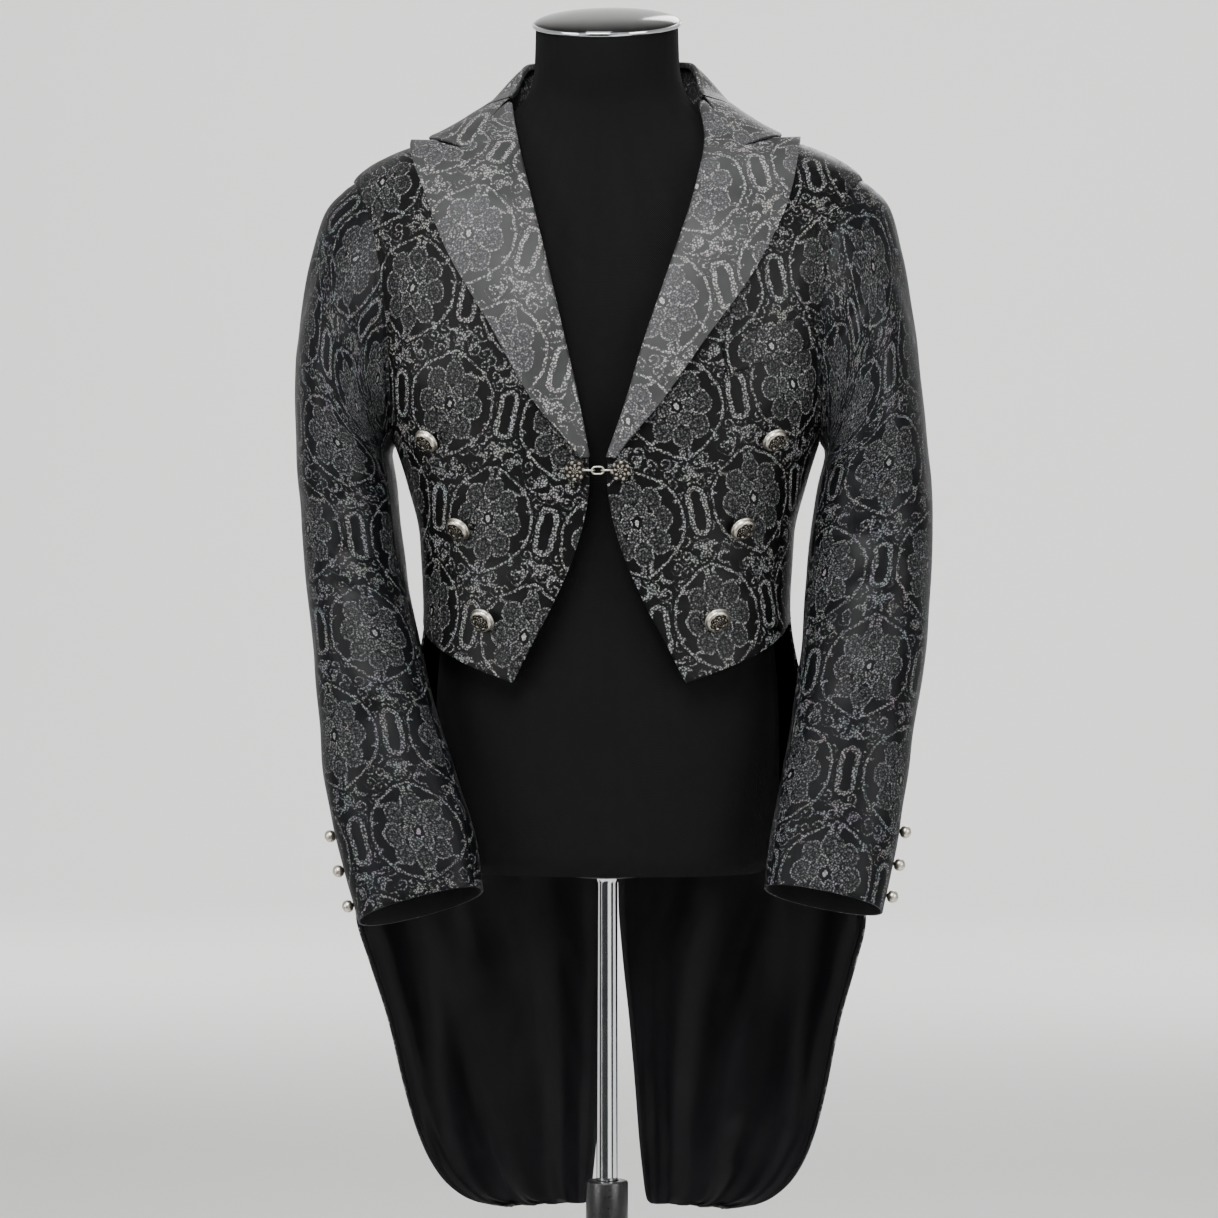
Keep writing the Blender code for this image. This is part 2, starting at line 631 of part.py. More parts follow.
def seam_gap(side, station, angle):
    """Half the gap at a sleeve's seam, in degrees round the sleeve."""
    near, far = sleeve_point(side, station, angle - 0.5), sleeve_point(side, station, angle + 0.5)
    return RIDGE_GAP / 2 / (far - near).length


def make_sleeve(side, word):
    upper, under = [], []
    for station in SLEEVE_ROWS:
        hind = hind_angle(station)
        fore_gap, hind_gap = seam_gap(side, station, FORE_SEAM), seam_gap(side, station, hind)
        upper.append([
            sleeve_point(side, station, between(FORE_SEAM - fore_gap, hind + hind_gap, t))
            for t in spread(11)
        ])
        under.append([
            sleeve_point(side, station, between(hind + 360 - hind_gap, FORE_SEAM + fore_gap, t))
            for t in spread(9)
        ])
    sheet("upper_sleeve_" + word, mirrored(upper, side), "brocade", flip=side > 0)
    sheet("under_sleeve_" + word, mirrored(under, side), "brocade", flip=side > 0)


# Tails

def tail_point(part, height, out=0.0):
    """A tail's point, part of the way from its vent edge to its outer edge."""
    row = TAIL.at(height)
    vent = 180 - turn_across(row["vent"], height)
    edge = 180 - turn_across(min(row["edge"], COAT.at(height)["half"]), height)
    turn = between(vent, edge, part)
    swing = (WAIST_HEIGHT - height) / (WAIST_HEIGHT - HEM_HEIGHT)
    flute = FLUTE_DEPTH * swing ** 1.5 * sin(2 * pi * (180 - turn) / FLUTE_TURN)
    return coat_point(turn, height, out + flute)


def make_tail(side, word):
    parts = spread(TAIL_COLUMNS)
    rows = [[tail_point(part, height) for part in parts] for height in TAIL_ROWS]
    sheet("tail_" + word, mirrored(rows, side), "brocade", flip=side < 0)
    parts = [LINING_INSET] + parts[1:-1] + [1 - LINING_INSET]
    out = -(WALL + LINING_GAP)
    rows = [[tail_point(part, height, out) for part in parts] for height in TAIL_ROWS]
    sheet("tail_lining_" + word, mirrored(rows, side), "satin", wall=LINING_WALL, flip=side < 0)


# Buttons and clasp

def facing(point, direction):
    """A matrix that puts Z along a direction at a point."""
    return Matrix.Translation(point) @ direction.to_track_quat("Z", "Y").to_matrix().to_4x4()


# Outlines of the buttons, in shares of their radius and height, from the top to the foot: a
# shallow dome with a deep rolled rim on a thread shank, and a ball.
FRONT_BUTTON_OUTLINE = (
    (0, 1), (0.50, 0.97), (0.76, 0.91), (0.94, 0.88), (1, 0.76), (0.93, 0.64), (0.70, 0.50),
    (0.16, 0.40), (0.16, 0.10), (0, 0),
)
CUFF_BUTTON_OUTLINE = (
    (0, 1), (0.52, 0.93), (0.88, 0.74), (1, 0.49), (0.86, 0.25), (0.40, 0.10), (0.26, 0), (0, 0),
)


def button_profile(outline, radius, high):
    return [(radius * across, high * up) for across, up in outline]


def make_front_buttons(side, word):
    """The front buttons, which droop on their threads."""
    profile = button_profile(FRONT_BUTTON_OUTLINE, FRONT_BUTTON_RADIUS, FRONT_BUTTON_HEIGHT)
    for number, (across, height) in enumerate(FRONT_BUTTONS, 1):
        turn = turn_across(across, height)
        seat = coat_point(turn, height, BUTTON_LIFT)
        rise = (coat_point(turn, height, 0.001) - coat_point(turn, height)).normalized()
        rise += Vector((BUTTON_SPLAY, 0, -BUTTON_DROOP))
        seat.x, rise.x = side * seat.x, side * rise.x
        turned(f"front_button_{word}_{number}", profile, "silver", 14, facing(seat, rise))


def make_cuff_buttons(side, word):
    profile = button_profile(CUFF_BUTTON_OUTLINE, CUFF_BUTTON_RADIUS, CUFF_BUTTON_HEIGHT)
    for number, station in enumerate(CUFF_BUTTONS, 1):
        angle = hind_angle(station) + CUFF_BUTTON_TURN
        here = sleeve_point(side, station, angle)
        round_it = sleeve_point(side, station, angle + 0.5) - here
        up = sleeve_point(side, station - 0.02, angle) - here
        rise = up.cross(round_it).normalized()
        seat = here + rise * CUFF_BUTTON_LIFT
        seat.x, rise.x = side * seat.x, side * rise.x
        turned(f"cuff_button_{word}_{number}", profile, "silver", 10, facing(seat, rise))


def make_ornament(side, name):
    """A lobed casting with an eye for the chain, on a shank."""
    outline = bpy.data.curves.new(name, "CURVE")
    outline.dimensions, outline.fill_mode = "2D", "BOTH"
    outline.extrude = CLASP_THICK / 2 - CLASP_BEVEL
    outline.bevel_depth, outline.bevel_resolution = CLASP_BEVEL, 0
    points = 30
    outer = outline.splines.new("POLY")
    outer.points.add(points - 1)
    outer.use_cyclic_u = True
    for k, point in enumerate(outer.points):
        angle = 2 * pi * k / points
        radius = ORNAMENT_RADIUS * (1 - ORNAMENT_LOBE_DEPTH * (1 - cos(ORNAMENT_LOBES * angle)) / 2)
        point.co = (radius * cos(angle), radius * sin(angle), 0, 1)
    eye = outline.splines.new("POLY")
    eye.points.add(9)
    eye.use_cyclic_u = True
    for k, point in enumerate(eye.points):
        angle = 2 * pi * k / 10
        middle = EYE_INSET + EYE_RADIUS - ORNAMENT_RADIUS
        point.co = (middle + EYE_RADIUS * cos(angle), EYE_RADIUS * sin(angle), 0, 1)
    plate = bpy.data.objects.new(name, outline)
    bpy.data.collections[COLLECTION].objects.link(plate)
    graph = bpy.context.evaluated_depsgraph_get()
    mesh = bpy.data.meshes.new_from_object(plate.evaluated_get(graph))
    bpy.data.objects.remove(plate)
    welded = bmesh.new()
    welded.from_mesh(mesh)
    bmesh.ops.remove_doubles(welded, verts=welded.verts, dist=0.00001)
    welded.to_mesh(mesh)
    welded.free()
    mesh.materials.clear()
    thing = add_object(name, mesh, "silver")
    turn = turn_across(ORNAMENT_ACROSS, CLASP_HEIGHT)
    seat = coat_point(turn, CLASP_HEIGHT, ORNAMENT_LIFT)
    rise = coat_point(turn, CLASP_HEIGHT, 0.001) - coat_point(turn, CLASP_HEIGHT)
    across = Vector((1, 0, 0)) - rise.normalized() * rise.normalized().x
    across.normalize()
    up = rise.normalized().cross(across)
    place = Matrix((across, up, rise.normalized())).transposed().to_4x4()
    place.translation = seat
    if side < 0:
        place = Matrix.Scale(-1, 4, (1, 0, 0)) @ place @ Matrix.Scale(-1, 4, (0, 1, 0))
    shank_long = ORNAMENT_LIFT - BUTTON_LIFT
    shank_middle = Matrix.Translation((SHANK_ASIDE, 0, -shank_long / 2))
    shank = bmesh.new()
    bmesh.ops.create_cone(shank, cap_ends=True, segments=12, radius1=SHANK_RADIUS,
                          radius2=SHANK_RADIUS, depth=shank_long, matrix=shank_middle)
    foot = bpy.data.meshes.new(name + "_shank")
    shank.to_mesh(foot)
    shank.free()
    cutter = bpy.data.objects.new(name + "_shank", foot)
    bpy.data.collections["joins"].objects.link(cutter)
    cutter.hide_render, cutter.display_type = True, "WIRE"
    thing.matrix_world = cutter.matrix_world = place
    union = thing.modifiers.new("Shank", "BOOLEAN")
    union.operation, union.object = "UNION", cutter


def make_link(name, middle, upright):
    """An oval link of the clasp's chain."""
    wire = bpy.data.curves.new(name, "CURVE")
    wire.dimensions = "3D"
    wire.bevel_depth, wire.bevel_resolution = LINK_WIRE, 1
    path = wire.splines.new("POLY")
    count = 12
    path.points.add(count - 1)
    path.use_cyclic_u = True
    straight = (LINK_LENGTH - LINK_WIDTH) / 2
    for k, point in enumerate(path.points):
        angle = 2 * pi * (k + 0.5) / count
        along = LINK_WIDTH / 2 * cos(angle) + (straight if cos(angle) > 0 else -straight)
        aside = LINK_WIDTH / 2 * sin(angle)
        point.co = (along, 0, aside, 1) if upright else (along, aside, 0, 1)
    link = bpy.data.objects.new(name, wire)
    bpy.data.collections[COLLECTION].objects.link(link)
    link.data.materials.append(bpy.data.materials["silver"])
    link.location = middle


def make_clasp():
    make_ornament(1, "clasp_ornament_left")
    make_ornament(-1, "clasp_ornament_right")
    turn = turn_across(ORNAMENT_ACROSS, CLASP_HEIGHT)
    depth = coat_point(turn, CLASP_HEIGHT, ORNAMENT_LIFT).y
    for number, step in enumerate((-1, 0, 1), 1):
        middle = Vector((step * LINK_PITCH, depth, CLASP_HEIGHT))
        make_link(f"chain_link_{number}", middle, step == 0)


# Dress form and stand

def form_ring(height, count):
    ring = FORM.at(height)
    points = []
    for k in range(count):
        across, deep = ring_point(ring, 2 * pi * k / count)
        points.append(Vector((across, deep, height + ring["lean"] * deep)))
    return points


def make_form():
    heights = sorted([row[0] for row in FORM.rows] + list(FORM_BETWEEN))
    loft("dress_form", [form_ring(height, 26) for height in heights], "form")
    top = FORM.at(heights[-1])
    radius = top["half"] * (1 + top["lean"] ** 2) ** 0.5
    rim = radius * 1.01
    profile = [(radius * sin(radians(a)), CAP_RISE * cos(radians(a))) for a in (0, 24, 48, 72)]
    profile += [(radius * 0.985, CAP_RIM + 0.001), (rim, CAP_RIM), (rim, 0), (0, 0)]
    tilt = Matrix.Rotation(atan2(top["lean"], 1), 4, "X")
    place = Matrix.Translation((0, 0, heights[-1])) @ tilt @ Matrix.Translation((0, 0, SEAT_GAP))
    turned("neck_cap", profile, "cap", 26, place)


def make_stand():
    top, radius, bevel = BASE_THICK, BASE_RADIUS, BASE_BEVEL
    turned("base_plate", (
        (0, top), (radius - bevel, top), (radius, top - bevel), (radius, 0), (0, 0)), "stand", 36)
    foot, flange, thick = top + SEAT_GAP, FLANGE_RADIUS, FLANGE_THICK
    turned("stand_tube", (
        (TUBE_RADIUS, TUBE_TOP), (TUBE_RADIUS, foot + thick), (flange, foot + thick - 0.001),
        (flange, foot), (TUBE_BORE, foot), (TUBE_BORE, TUBE_TOP)), "stand", 24)
    low = TUBE_TOP + SEAT_GAP
    turned("tube_bushing", (
        (BUSHING_RADIUS - 0.0015, BUSHING_TOP), (BUSHING_RADIUS, BUSHING_TOP - 0.0015),
        (BUSHING_RADIUS, low), (TUBE_BORE, low), (TUBE_BORE, BUSHING_TOP)), "stand", 24)
    high = FORM.rows[0][0] - SEAT_GAP
    turned("pole", (
        (0, high), (flange, high), (flange, high - 0.004), (POLE_RADIUS + 0.002, high - thick),
        (POLE_RADIUS, high - 0.010), (POLE_RADIUS, POLE_FOOT), (0, POLE_FOOT)), "chrome", 24)


def clear_scene():
    for thing in list(bpy.data.objects):
        bpy.data.objects.remove(thing)
    for name in (COLLECTION, "joins"):
        group = bpy.data.collections.new(name)
        bpy.context.scene.collection.children.link(group)
    for name, (colour, rough, metal) in COLOURS.items():
        finish = bpy.data.materials.new(name)
        finish.use_nodes = True
        shader = finish.node_tree.nodes["Principled BSDF"]
        shader.inputs["Base Color"].default_value = (*colour, 1)
        shader.inputs["Roughness"].default_value = rough
        shader.inputs["Metallic"].default_value = metal


clear_scene()
make_stand()
make_form()
make_collar()
make_welt()
make_clasp()
for hand, word in ((1, "left"), (-1, "right")):
    make_front(hand, "front_" + word)
    make_back(hand, "back_" + word)
    make_lapel(hand, "lapel_" + word)
    make_sleeve(hand, word)
    make_tail(hand, word)
    make_front_buttons(hand, word)
    make_cuff_buttons(hand, word)
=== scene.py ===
"""Finishes of a brocade tailcoat on its dress form: cloth, lining, silver, form and stand.

Metres, +Z up, +X to the wearer's left, and the coat faces -Y. Left and right are the wearer's.
"""
from functools import lru_cache
from math import atan2, cos, pi, radians, sin

import bmesh
import bpy
import numpy as np
from bpy.props import FloatProperty, FloatVectorProperty, PointerProperty
from mathutils import Matrix, Vector, noise


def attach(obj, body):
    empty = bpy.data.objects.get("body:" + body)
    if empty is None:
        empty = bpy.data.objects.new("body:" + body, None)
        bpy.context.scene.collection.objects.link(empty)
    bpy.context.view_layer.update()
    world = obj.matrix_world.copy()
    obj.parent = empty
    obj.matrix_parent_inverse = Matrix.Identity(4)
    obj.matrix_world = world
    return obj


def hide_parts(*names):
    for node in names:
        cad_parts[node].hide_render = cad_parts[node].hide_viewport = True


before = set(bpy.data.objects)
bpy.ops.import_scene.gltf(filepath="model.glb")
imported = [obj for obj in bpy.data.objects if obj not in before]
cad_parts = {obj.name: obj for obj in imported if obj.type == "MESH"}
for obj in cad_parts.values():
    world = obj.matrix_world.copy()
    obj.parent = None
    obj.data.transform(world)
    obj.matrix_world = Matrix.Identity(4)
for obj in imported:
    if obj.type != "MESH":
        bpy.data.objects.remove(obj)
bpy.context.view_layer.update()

bl_info = {
    "name": "Brocade Tailcoat",
    "version": (1, 0, 0),
    "blender": (4, 5, 0),
    "location": "3D View > Sidebar > Tailcoat",
    "description": "Cloth, lining, silver, dress form and stand of a brocade tailcoat",
    "category": "Object",
}

# Cloth
WALL, LINING_WALL = 0.0020, 0.0010
SMOOTH_GAP, RIDGE_GAP, ARMHOLE_GAP, GORGE_GAP = 0.0007, 0.0013, 0.0012, 0.0011
POINT_HEIGHT, WAIST_HEIGHT, HEM_HEIGHT = 0.9715, 1.0400, 0.4760
CLASP_HEIGHT, BREAK_HEIGHT = 1.1560, 1.1680
SHOULDER_HEIGHT, NECK_HEIGHT = 1.4200, 1.4880
WAIST_SIDE_TURN = 96
LAPEL_STAND, LAPEL_BELLY, LAPEL_EDGE_LIFT, COLLAR_BELLY = 0.0043, 0.0030, 0.0032, 0.0070
LAPEL_TOP_SHARE = 0.45
SLEEVE_HEAD, SLEEVE_END, SLEEVE_SQUARE = 4, 12, 2.2   # the first two are stations down it
SLEEVE_COLUMNS = {"upper": 54, "under": 40}
FORE_SEAM, HIND_SEAM = 152, (-75, -24)
# The sleeve head's seam allowance, which lies under the coat's panels: how far it reaches past
# the armhole, and how deep under the coat's face.
HEAD_ALLOWANCE = ((0.0075, 0.0050), (0.0040, 0.0044), (0.0016, 0.0036))
SEAM_DIP, SEAM_DIP_FROM = 0.0012, 1.20   # the armhole's shallow trough, and its lowest height
CURL_RADIUS, CURL_TURN = 0.00315, 150   # the roll of a lapel's inner edge
FLUTE_TURN, FLUTE_DEPTH = 34, 0.0060
LINING_INSET, LINING_GAP, LINING_FOLD = 0.02, 0.0009, 0.0028
WELT_WALL, WELT_STAND = 0.0015, 0.0024
COLLAR_END, GORGE_STATIONS, STAND_START, STAND_DROP = 7, 3, 3.5, 0.0046

# Silver
FRONT_BUTTON_RADIUS, FRONT_BUTTON_HEIGHT, BUTTON_LIFT = 0.0115, 0.0140, 0.0004
CUFF_BUTTON_RADIUS, CUFF_BUTTON_HEIGHT, CUFF_BUTTON_LIFT = 0.0056, 0.0104, 0.0001
BUTTON_DROOP, BUTTON_SPLAY = 0.70, 0.10   # a front button's lean down and outwards, per unit
CARVED_SHARE = 0.56   # of a casting's map, inside which it is carved
FRONT_BUTTON_CARVED, CUFF_BUTTON_CARVED = 0.74, 0.40   # of a button's radius
FRONT_BUTTONS = ((0.148, 1.189), (0.1205, 1.1115), (0.099, 1.031))
CUFF_BUTTONS, CUFF_BUTTON_TURN = (10.85, 11.32, 11.76), 20
ORNAMENT_ACROSS, ORNAMENT_LIFT, ORNAMENT_RADIUS = 0.0195, 0.0046, 0.0098
ORNAMENT_LOBES, LOBE_DEPTH, ORNAMENT_THICK, ORNAMENT_SHANK = 6, 0.14, 0.0030, 0.0031
LINK_WIRE, LINK_LENGTH, LINK_WIDTH, LINK_PITCH = 0.0008, 0.0104, 0.0062, 0.0082

# Stand
BASE_RADIUS, BASE_THICK = 0.175, 0.010
TUBE_RADIUS, TUBE_BORE, TUBE_TOP = 0.0160, 0.0101, 0.4880
BUSHING_RADIUS, BUSHING_TOP = 0.0190, 0.5220
POLE_RADIUS, POLE_FOOT = 0.0095, 0.2100
FLANGE_RADIUS, FLANGE_THICK = 0.034, 0.006
SEAT_GAP = 0.0003
CAP_RISE, CAP_RIM = 0.0130, 0.0036

CLOTH_BODY, STAND_BODY = "coat_and_form", "stand"
FINE_STEPS = 3000
FALL = 2.718   # base of the soft fall-offs
MAP_LEVEL = 0.005   # between two levels at which the coat's girth is measured

# Stage
CAMERA_TURN, CAMERA_FAR, CAMERA_HEIGHT, CAMERA_SHIFT = 3.5, 3.5, 1.0359, 0.0018
ROOM_SIZE, ROOM_ROUND = (26, 26, 9), 3

# The lapel cloth is a copy of the front cloth with a lighter ground and paler cords: painted light.
FRONT_CLOTH, LAPEL_CLOTH = "Silk brocade, dark satin ground", "Silk brocade, lit satin ground"
# The sleeve cloth is a copy with darker cords, painted shade, and a faintly bluer ground, painted
# sheen.
SLEEVE_CLOTH, REVERSE = "Silk brocade, duller cords", "Brocade, reverse side"
LINING = "Black satin lining"
JERSEY, LACQUER = "Black cotton jersey", "Black lacquer"
CHROME, SILVER, POWDER = "Chromed steel", "Cast antique silver", "Black powder coat"


class Table:
    """Rows under named columns, read between the rows by a smooth curve that never overshoots."""

    def __init__(self, columns, *rows):
        self.columns = columns.split()
        self.rows = rows
        self.fine = []

    def rise(self, row, column):
        here, there = self.rows[row], self.rows[row + 1]
        return (there[column] - here[column]) / (there[0] - here[0])

    def slope(self, row, column):
        if row in (0, len(self.rows) - 1):
            return 0.0 if len(self.rows) > 2 else self.rise(0, column)
        before, after = self.rise(row - 1, column), self.rise(row, column)
        return 0.0 if before * after <= 0 else 2 * before * after / (before + after)

    def exact(self, key):
        """The columns' values at this value of the first column, as a tuple."""
        row = max(i for i in range(len(self.rows) - 1) if self.rows[i][0] <= key or i == 0)
        here, there = self.rows[row], self.rows[row + 1]
        span = there[0] - here[0]
        part = (key - here[0]) / span
        found = []
        for column in range(len(self.columns)):
            enter = self.slope(row, column) if row else self.rise(0, column)
            last = row == len(self.rows) - 2
            leave = self.rise(row, column) if last else self.slope(row + 1, column)
            found.append(
                here[column] * (1 + 2 * part) * (1 - part) ** 2
                + enter * span * part * (1 - part) ** 2
                + there[column] * part * part * (3 - 2 * part)
                + leave * span * part * part * (part - 1)
            )
        return tuple(found)

    def at(self, key):
        """The same values as a dictionary, read between fine steps to save time."""
        first, last = self.rows[0][0], self.rows[-1][0]
        if not self.fine:
            steps = [first + (last - first) * k / FINE_STEPS for k in range(FINE_STEPS)]
            self.fine = [self.exact(step) for step in steps + [last, last]]
        place = min(max((key - first) / (last - first), 0.0), 1.0) * FINE_STEPS
        step = int(place)
        part = place - step
        return {
            name: a + (b - a) * part
            for name, a, b in zip(self.columns, self.fine[step], self.fine[step + 1])
        }


# Rings of the coat's outer face.
COAT = Table(
    "height half front back middle square",
    (0.460, 0.2520, 0.150, 0.146, 0.020, 2.20),
    (0.600, 0.2460, 0.148, 0.142, 0.018, 2.20),
    (0.750, 0.2350, 0.142, 0.136, 0.014, 2.20),
    (0.860, 0.2080, 0.134, 0.130, 0.009, 2.20),
    (0.960, 0.1780, 0.124, 0.122, 0.004, 2.25),
    (1.036, 0.1650, 0.1180, 0.1120, 0.000, 2.30),
    (1.100, 0.1680, 0.1200, 0.1095, 0.000, 2.30),
    (1.150, 0.1800, 0.1250, 0.1125, 0.000, 2.35),
    (1.190, 0.1925, 0.1285, 0.1175, 0.000, 2.40),
    (1.230, 0.2040, 0.1295, 0.1220, 0.000, 2.50),
    (1.300, 0.2180, 0.1265, 0.1270, 0.002, 2.60),
    (1.350, 0.2270, 0.1185, 0.1250, 0.004, 2.65),
    (1.390, 0.2320, 0.1055, 0.1180, 0.006, 2.60),
    (1.4100, 0.2335, 0.0960, 0.1110, 0.008, 2.50),
    (1.4230, 0.2300, 0.0880, 0.1050, 0.008, 2.40),
    (1.4340, 0.2180, 0.0800, 0.0980, 0.008, 2.30),
    (1.4450, 0.1970, 0.0730, 0.0915, 0.007, 2.20),
    (1.4540, 0.1720, 0.0675, 0.0865, 0.006, 2.20),
    (1.4640, 0.1390, 0.0625, 0.0815, 0.005, 2.20),
    (1.4750, 0.1100, 0.0590, 0.0765, 0.004, 2.20),
    (1.4900, 0.0845, 0.0560, 0.0700, 0.002, 2.20),
)
# Rings of the dress form. lean tips a ring up towards the back.
FORM = Table(
    "height half front back middle square lean",
    (0.800, 0.1380, 0.0880, 0.0940, 0.006, 2.2, 0.0),
    (0.812, 0.1500, 0.0960, 0.1050, 0.006, 2.2, 0.0),
    (0.870, 0.1550, 0.1000, 0.1120, 0.006, 2.2, 0.0),
    (0.950, 0.1540, 0.0990, 0.1080, 0.004, 2.2, 0.0),
    (1.030, 0.1480, 0.0970, 0.0950, 0.002, 2.2, 0.0),
    (1.080, 0.1450, 0.0980, 0.0910, 0.000, 2.2, 0.0),
    (1.150, 0.1560, 0.1060, 0.0960, 0.000, 2.2, 0.0),
    (1.220, 0.1700, 0.1130, 0.1050, 0.000, 2.3, 0.0),
    (1.290, 0.1790, 0.1120, 0.1110, 0.002, 2.3, 0.0),
    (1.350, 0.1800, 0.1020, 0.1110, 0.004, 2.3, 0.0),
    (1.390, 0.1780, 0.0890, 0.1040, 0.006, 2.3, 0.0),
    (1.4150, 0.1740, 0.0780, 0.0950, 0.007, 2.2, 0.0),
    (1.4350, 0.1670, 0.0690, 0.0870, 0.007, 2.2, 0.0),
    (1.4500, 0.1550, 0.0620, 0.0800, 0.006, 2.2, 0.0),
    (1.4606, 0.1370, 0.0580, 0.0760, 0.005, 2.2, 0.0),
    (1.4716, 0.1080, 0.0560, 0.0720, 0.004, 2.2, 0.0),
    (1.4846, 0.0830, 0.0550, 0.0660, 0.003, 2.1, 0.02),
    (1.5000, 0.0710, 0.0570, 0.0610, 0.002, 2.0, 0.07),
    (1.5200, 0.0655, 0.0600, 0.0610, 0.001, 2.0, 0.16),
    (1.5600, 0.0640, 0.0640, 0.0640, 0.000, 2.0, 0.30),
)
FRONT_EDGE = Table(
    "height across",
    (POINT_HEIGHT, 0.0760), (0.9828, 0.0700), (1.0044, 0.0590), (1.0323, 0.0440),
    (1.0755, 0.0243), (1.1016, 0.0155), (1.1286, 0.0095), (1.1450, 0.0078),
    (BREAK_HEIGHT, 0.0085),
)
LAPEL = {
    1: Table(
        "height roll edge",
        (BREAK_HEIGHT, 0.0100, 0.0130), (1.2132, 0.0260, 0.0525), (1.2700, 0.0430, 0.0925),
        (1.3374, 0.0655, 0.1380), (1.4058, 0.0860, 0.1675), (1.4517, 0.0930, 0.1740),
        (NECK_HEIGHT, 0.0866, 0.1740),
    ),
    -1: Table(
        "height roll edge",
        (BREAK_HEIGHT, 0.0100, 0.0130), (1.2204, 0.0200, 0.0579), (1.2850, 0.0350, 0.0944),
        (1.3490, 0.0505, 0.1323), (1.4020, 0.0650, 0.1540), (1.4500, 0.0780, 0.1710),
        (NECK_HEIGHT, 0.0866, 0.1710),
    ),
}
LAPEL_TOP = Table(
    "part across height",
    (0.00, 0.0862, 1.4874), (0.25, 0.1030, 1.4650), (0.50, 0.1225, 1.4400),
    (0.80, 0.1520, 1.4478), (1.00, 0.1720, 1.4500),
)
COLLAR = Table(
    "station fold_turn fold_lift edge_turn edge_height",
    (0, 34, 0.0000, 58.6, 1.4520),
    (1, 48, 0.0000, 70, 1.4580),
    (2, 63, 0.0010, 80, 1.4610),
    (3, 79, 0.0040, 91, 1.4640),
    (4, 100, 0.0160, 106, 1.4665),
    (5, 124, 0.0420, 127, 1.4705),
    (6, 152, 0.0460, 153, 1.4765),
    (7, 180, 0.0470, 180, 1.4815),
)
SLEEVE = {
    1: Table(
        "station outer_x outer_z inner_x inner_z middle deep tilt",
        (0, 0.2325, SHOULDER_HEIGHT, 0.1935, 1.1850, 0.002, 0.0750, 0.00),
        (1, 0.2530, 1.3980, 0.1950, 1.1820, 0.002, 0.0760, 0.00),
        (2, 0.2655, 1.3540, 0.1960, 1.1785, 0.001, 0.0765, 0.00),
        (3, 0.2745, 1.3000, 0.1960, 1.1745, 0.000, 0.0765, 0.00),
        (4, 0.2815, 1.2400, 0.1945, 1.1670, -0.002, 0.0750, 0.00),
        (5, 0.2880, 1.1800, 0.1895, 1.1480, -0.006, 0.0700, 0.02),
        (6, 0.2922, 1.1250, 0.1830, 1.1050, -0.013, 0.0640, 0.06),
        (7, 0.2900, 1.0650, 0.1790, 1.0550, -0.026, 0.0600, 0.12),
        (8, 0.2863, 1.0100, 0.1750, 1.0050, -0.042, 0.0560, 0.20),
        (9, 0.2775, 0.9500, 0.1685, 0.9500, -0.060, 0.0500, 0.26),
        (10, 0.2690, 0.8930, 0.1590, 0.8950, -0.076, 0.0430, 0.30),
        (11, 0.2600, 0.8350, 0.1500, 0.8450, -0.092, 0.0380, 0.32),
        (12, 0.2465, 0.7730, 0.1436, 0.7930, -0.108, 0.0340, 0.32),
    ),
    -1: Table(
        "station outer_x outer_z inner_x inner_z middle deep tilt",
        (0, 0.2325, SHOULDER_HEIGHT, 0.1935, 1.1850, 0.002, 0.0750, 0.00),
        (1, 0.2540, 1.3960, 0.1950, 1.1820, 0.002, 0.0760, 0.00),
        (2, 0.2680, 1.3500, 0.1960, 1.1785, 0.001, 0.0765, 0.00),
        (3, 0.2770, 1.2950, 0.1960, 1.1745, 0.000, 0.0765, 0.00),
        (4, 0.2805, 1.2350, 0.1945, 1.1670, -0.002, 0.0755, 0.00),
        (5, 0.2790, 1.1750, 0.1905, 1.1480, -0.006, 0.0720, 0.02),
        (6, 0.2740, 1.1200, 0.1850, 1.1050, -0.014, 0.0670, 0.06),
        (7, 0.2690, 1.0700, 0.1770, 1.0550, -0.027, 0.0620, 0.12),
        (8, 0.2600, 1.0150, 0.1630, 1.0050, -0.046, 0.0560, 0.20),
        (9, 0.2525, 0.9500, 0.1480, 0.9500, -0.066, 0.0500, 0.26),
        (10, 0.2450, 0.8900, 0.1285, 0.8950, -0.084, 0.0430, 0.30),
        (11, 0.2310, 0.8300, 0.1110, 0.8450, -0.100, 0.0380, 0.32),
        (12, 0.2105, 0.7616, 0.1010, 0.7912, -0.114, 0.0340, 0.32),
    ),
}
TAIL = Table(
    "height vent edge",
    (HEM_HEIGHT, 0.0300, 0.1080), (0.4790, 0.0270, 0.1300), (0.4880, 0.0250, 0.1480),
    (0.5050, 0.0230, 0.1640), (0.5350, 0.0200, 0.1790), (0.5900, 0.0160, 0.1960),
    (0.6500, 0.0110, 0.2100), (0.7100, 0.0050, 0.2240), (0.7600, 0.0015, 0.2310),
    (0.8600, 0.0005, 0.2080), (WAIST_HEIGHT, 0.0005, 0.1640),
)
WELT = ((0.1110, 1.2380), (0.1830, 1.2650), (0.1075, 1.2690), (0.1845, 1.2940))


# The coat's surface

def between(first, last, part):
    """The value that lies part of the way from the first to the last."""
    return first + (last - first) * part


def spread(count):
    """Shares from 0 to 1 in so many equal steps."""
    return [k / count for k in range(count + 1)]


def squarish(angle, square):
    """How far a squarish ring, whose axes reach 1, reaches at an angle in radians."""
    return (abs(sin(angle)) ** square + abs(cos(angle)) ** square) ** (-1 / square)


def ring_point(ring, turn):
    """A point of a squarish ring, in its own plane, at a turn in radians from -Y towards +X."""
    across, along, reach = sin(turn), cos(turn), squarish(turn, ring["square"])
    depth = ring["front"] if along > 0 else ring["back"]
    return ring["half"] * reach * across, ring["middle"] - depth * reach * along


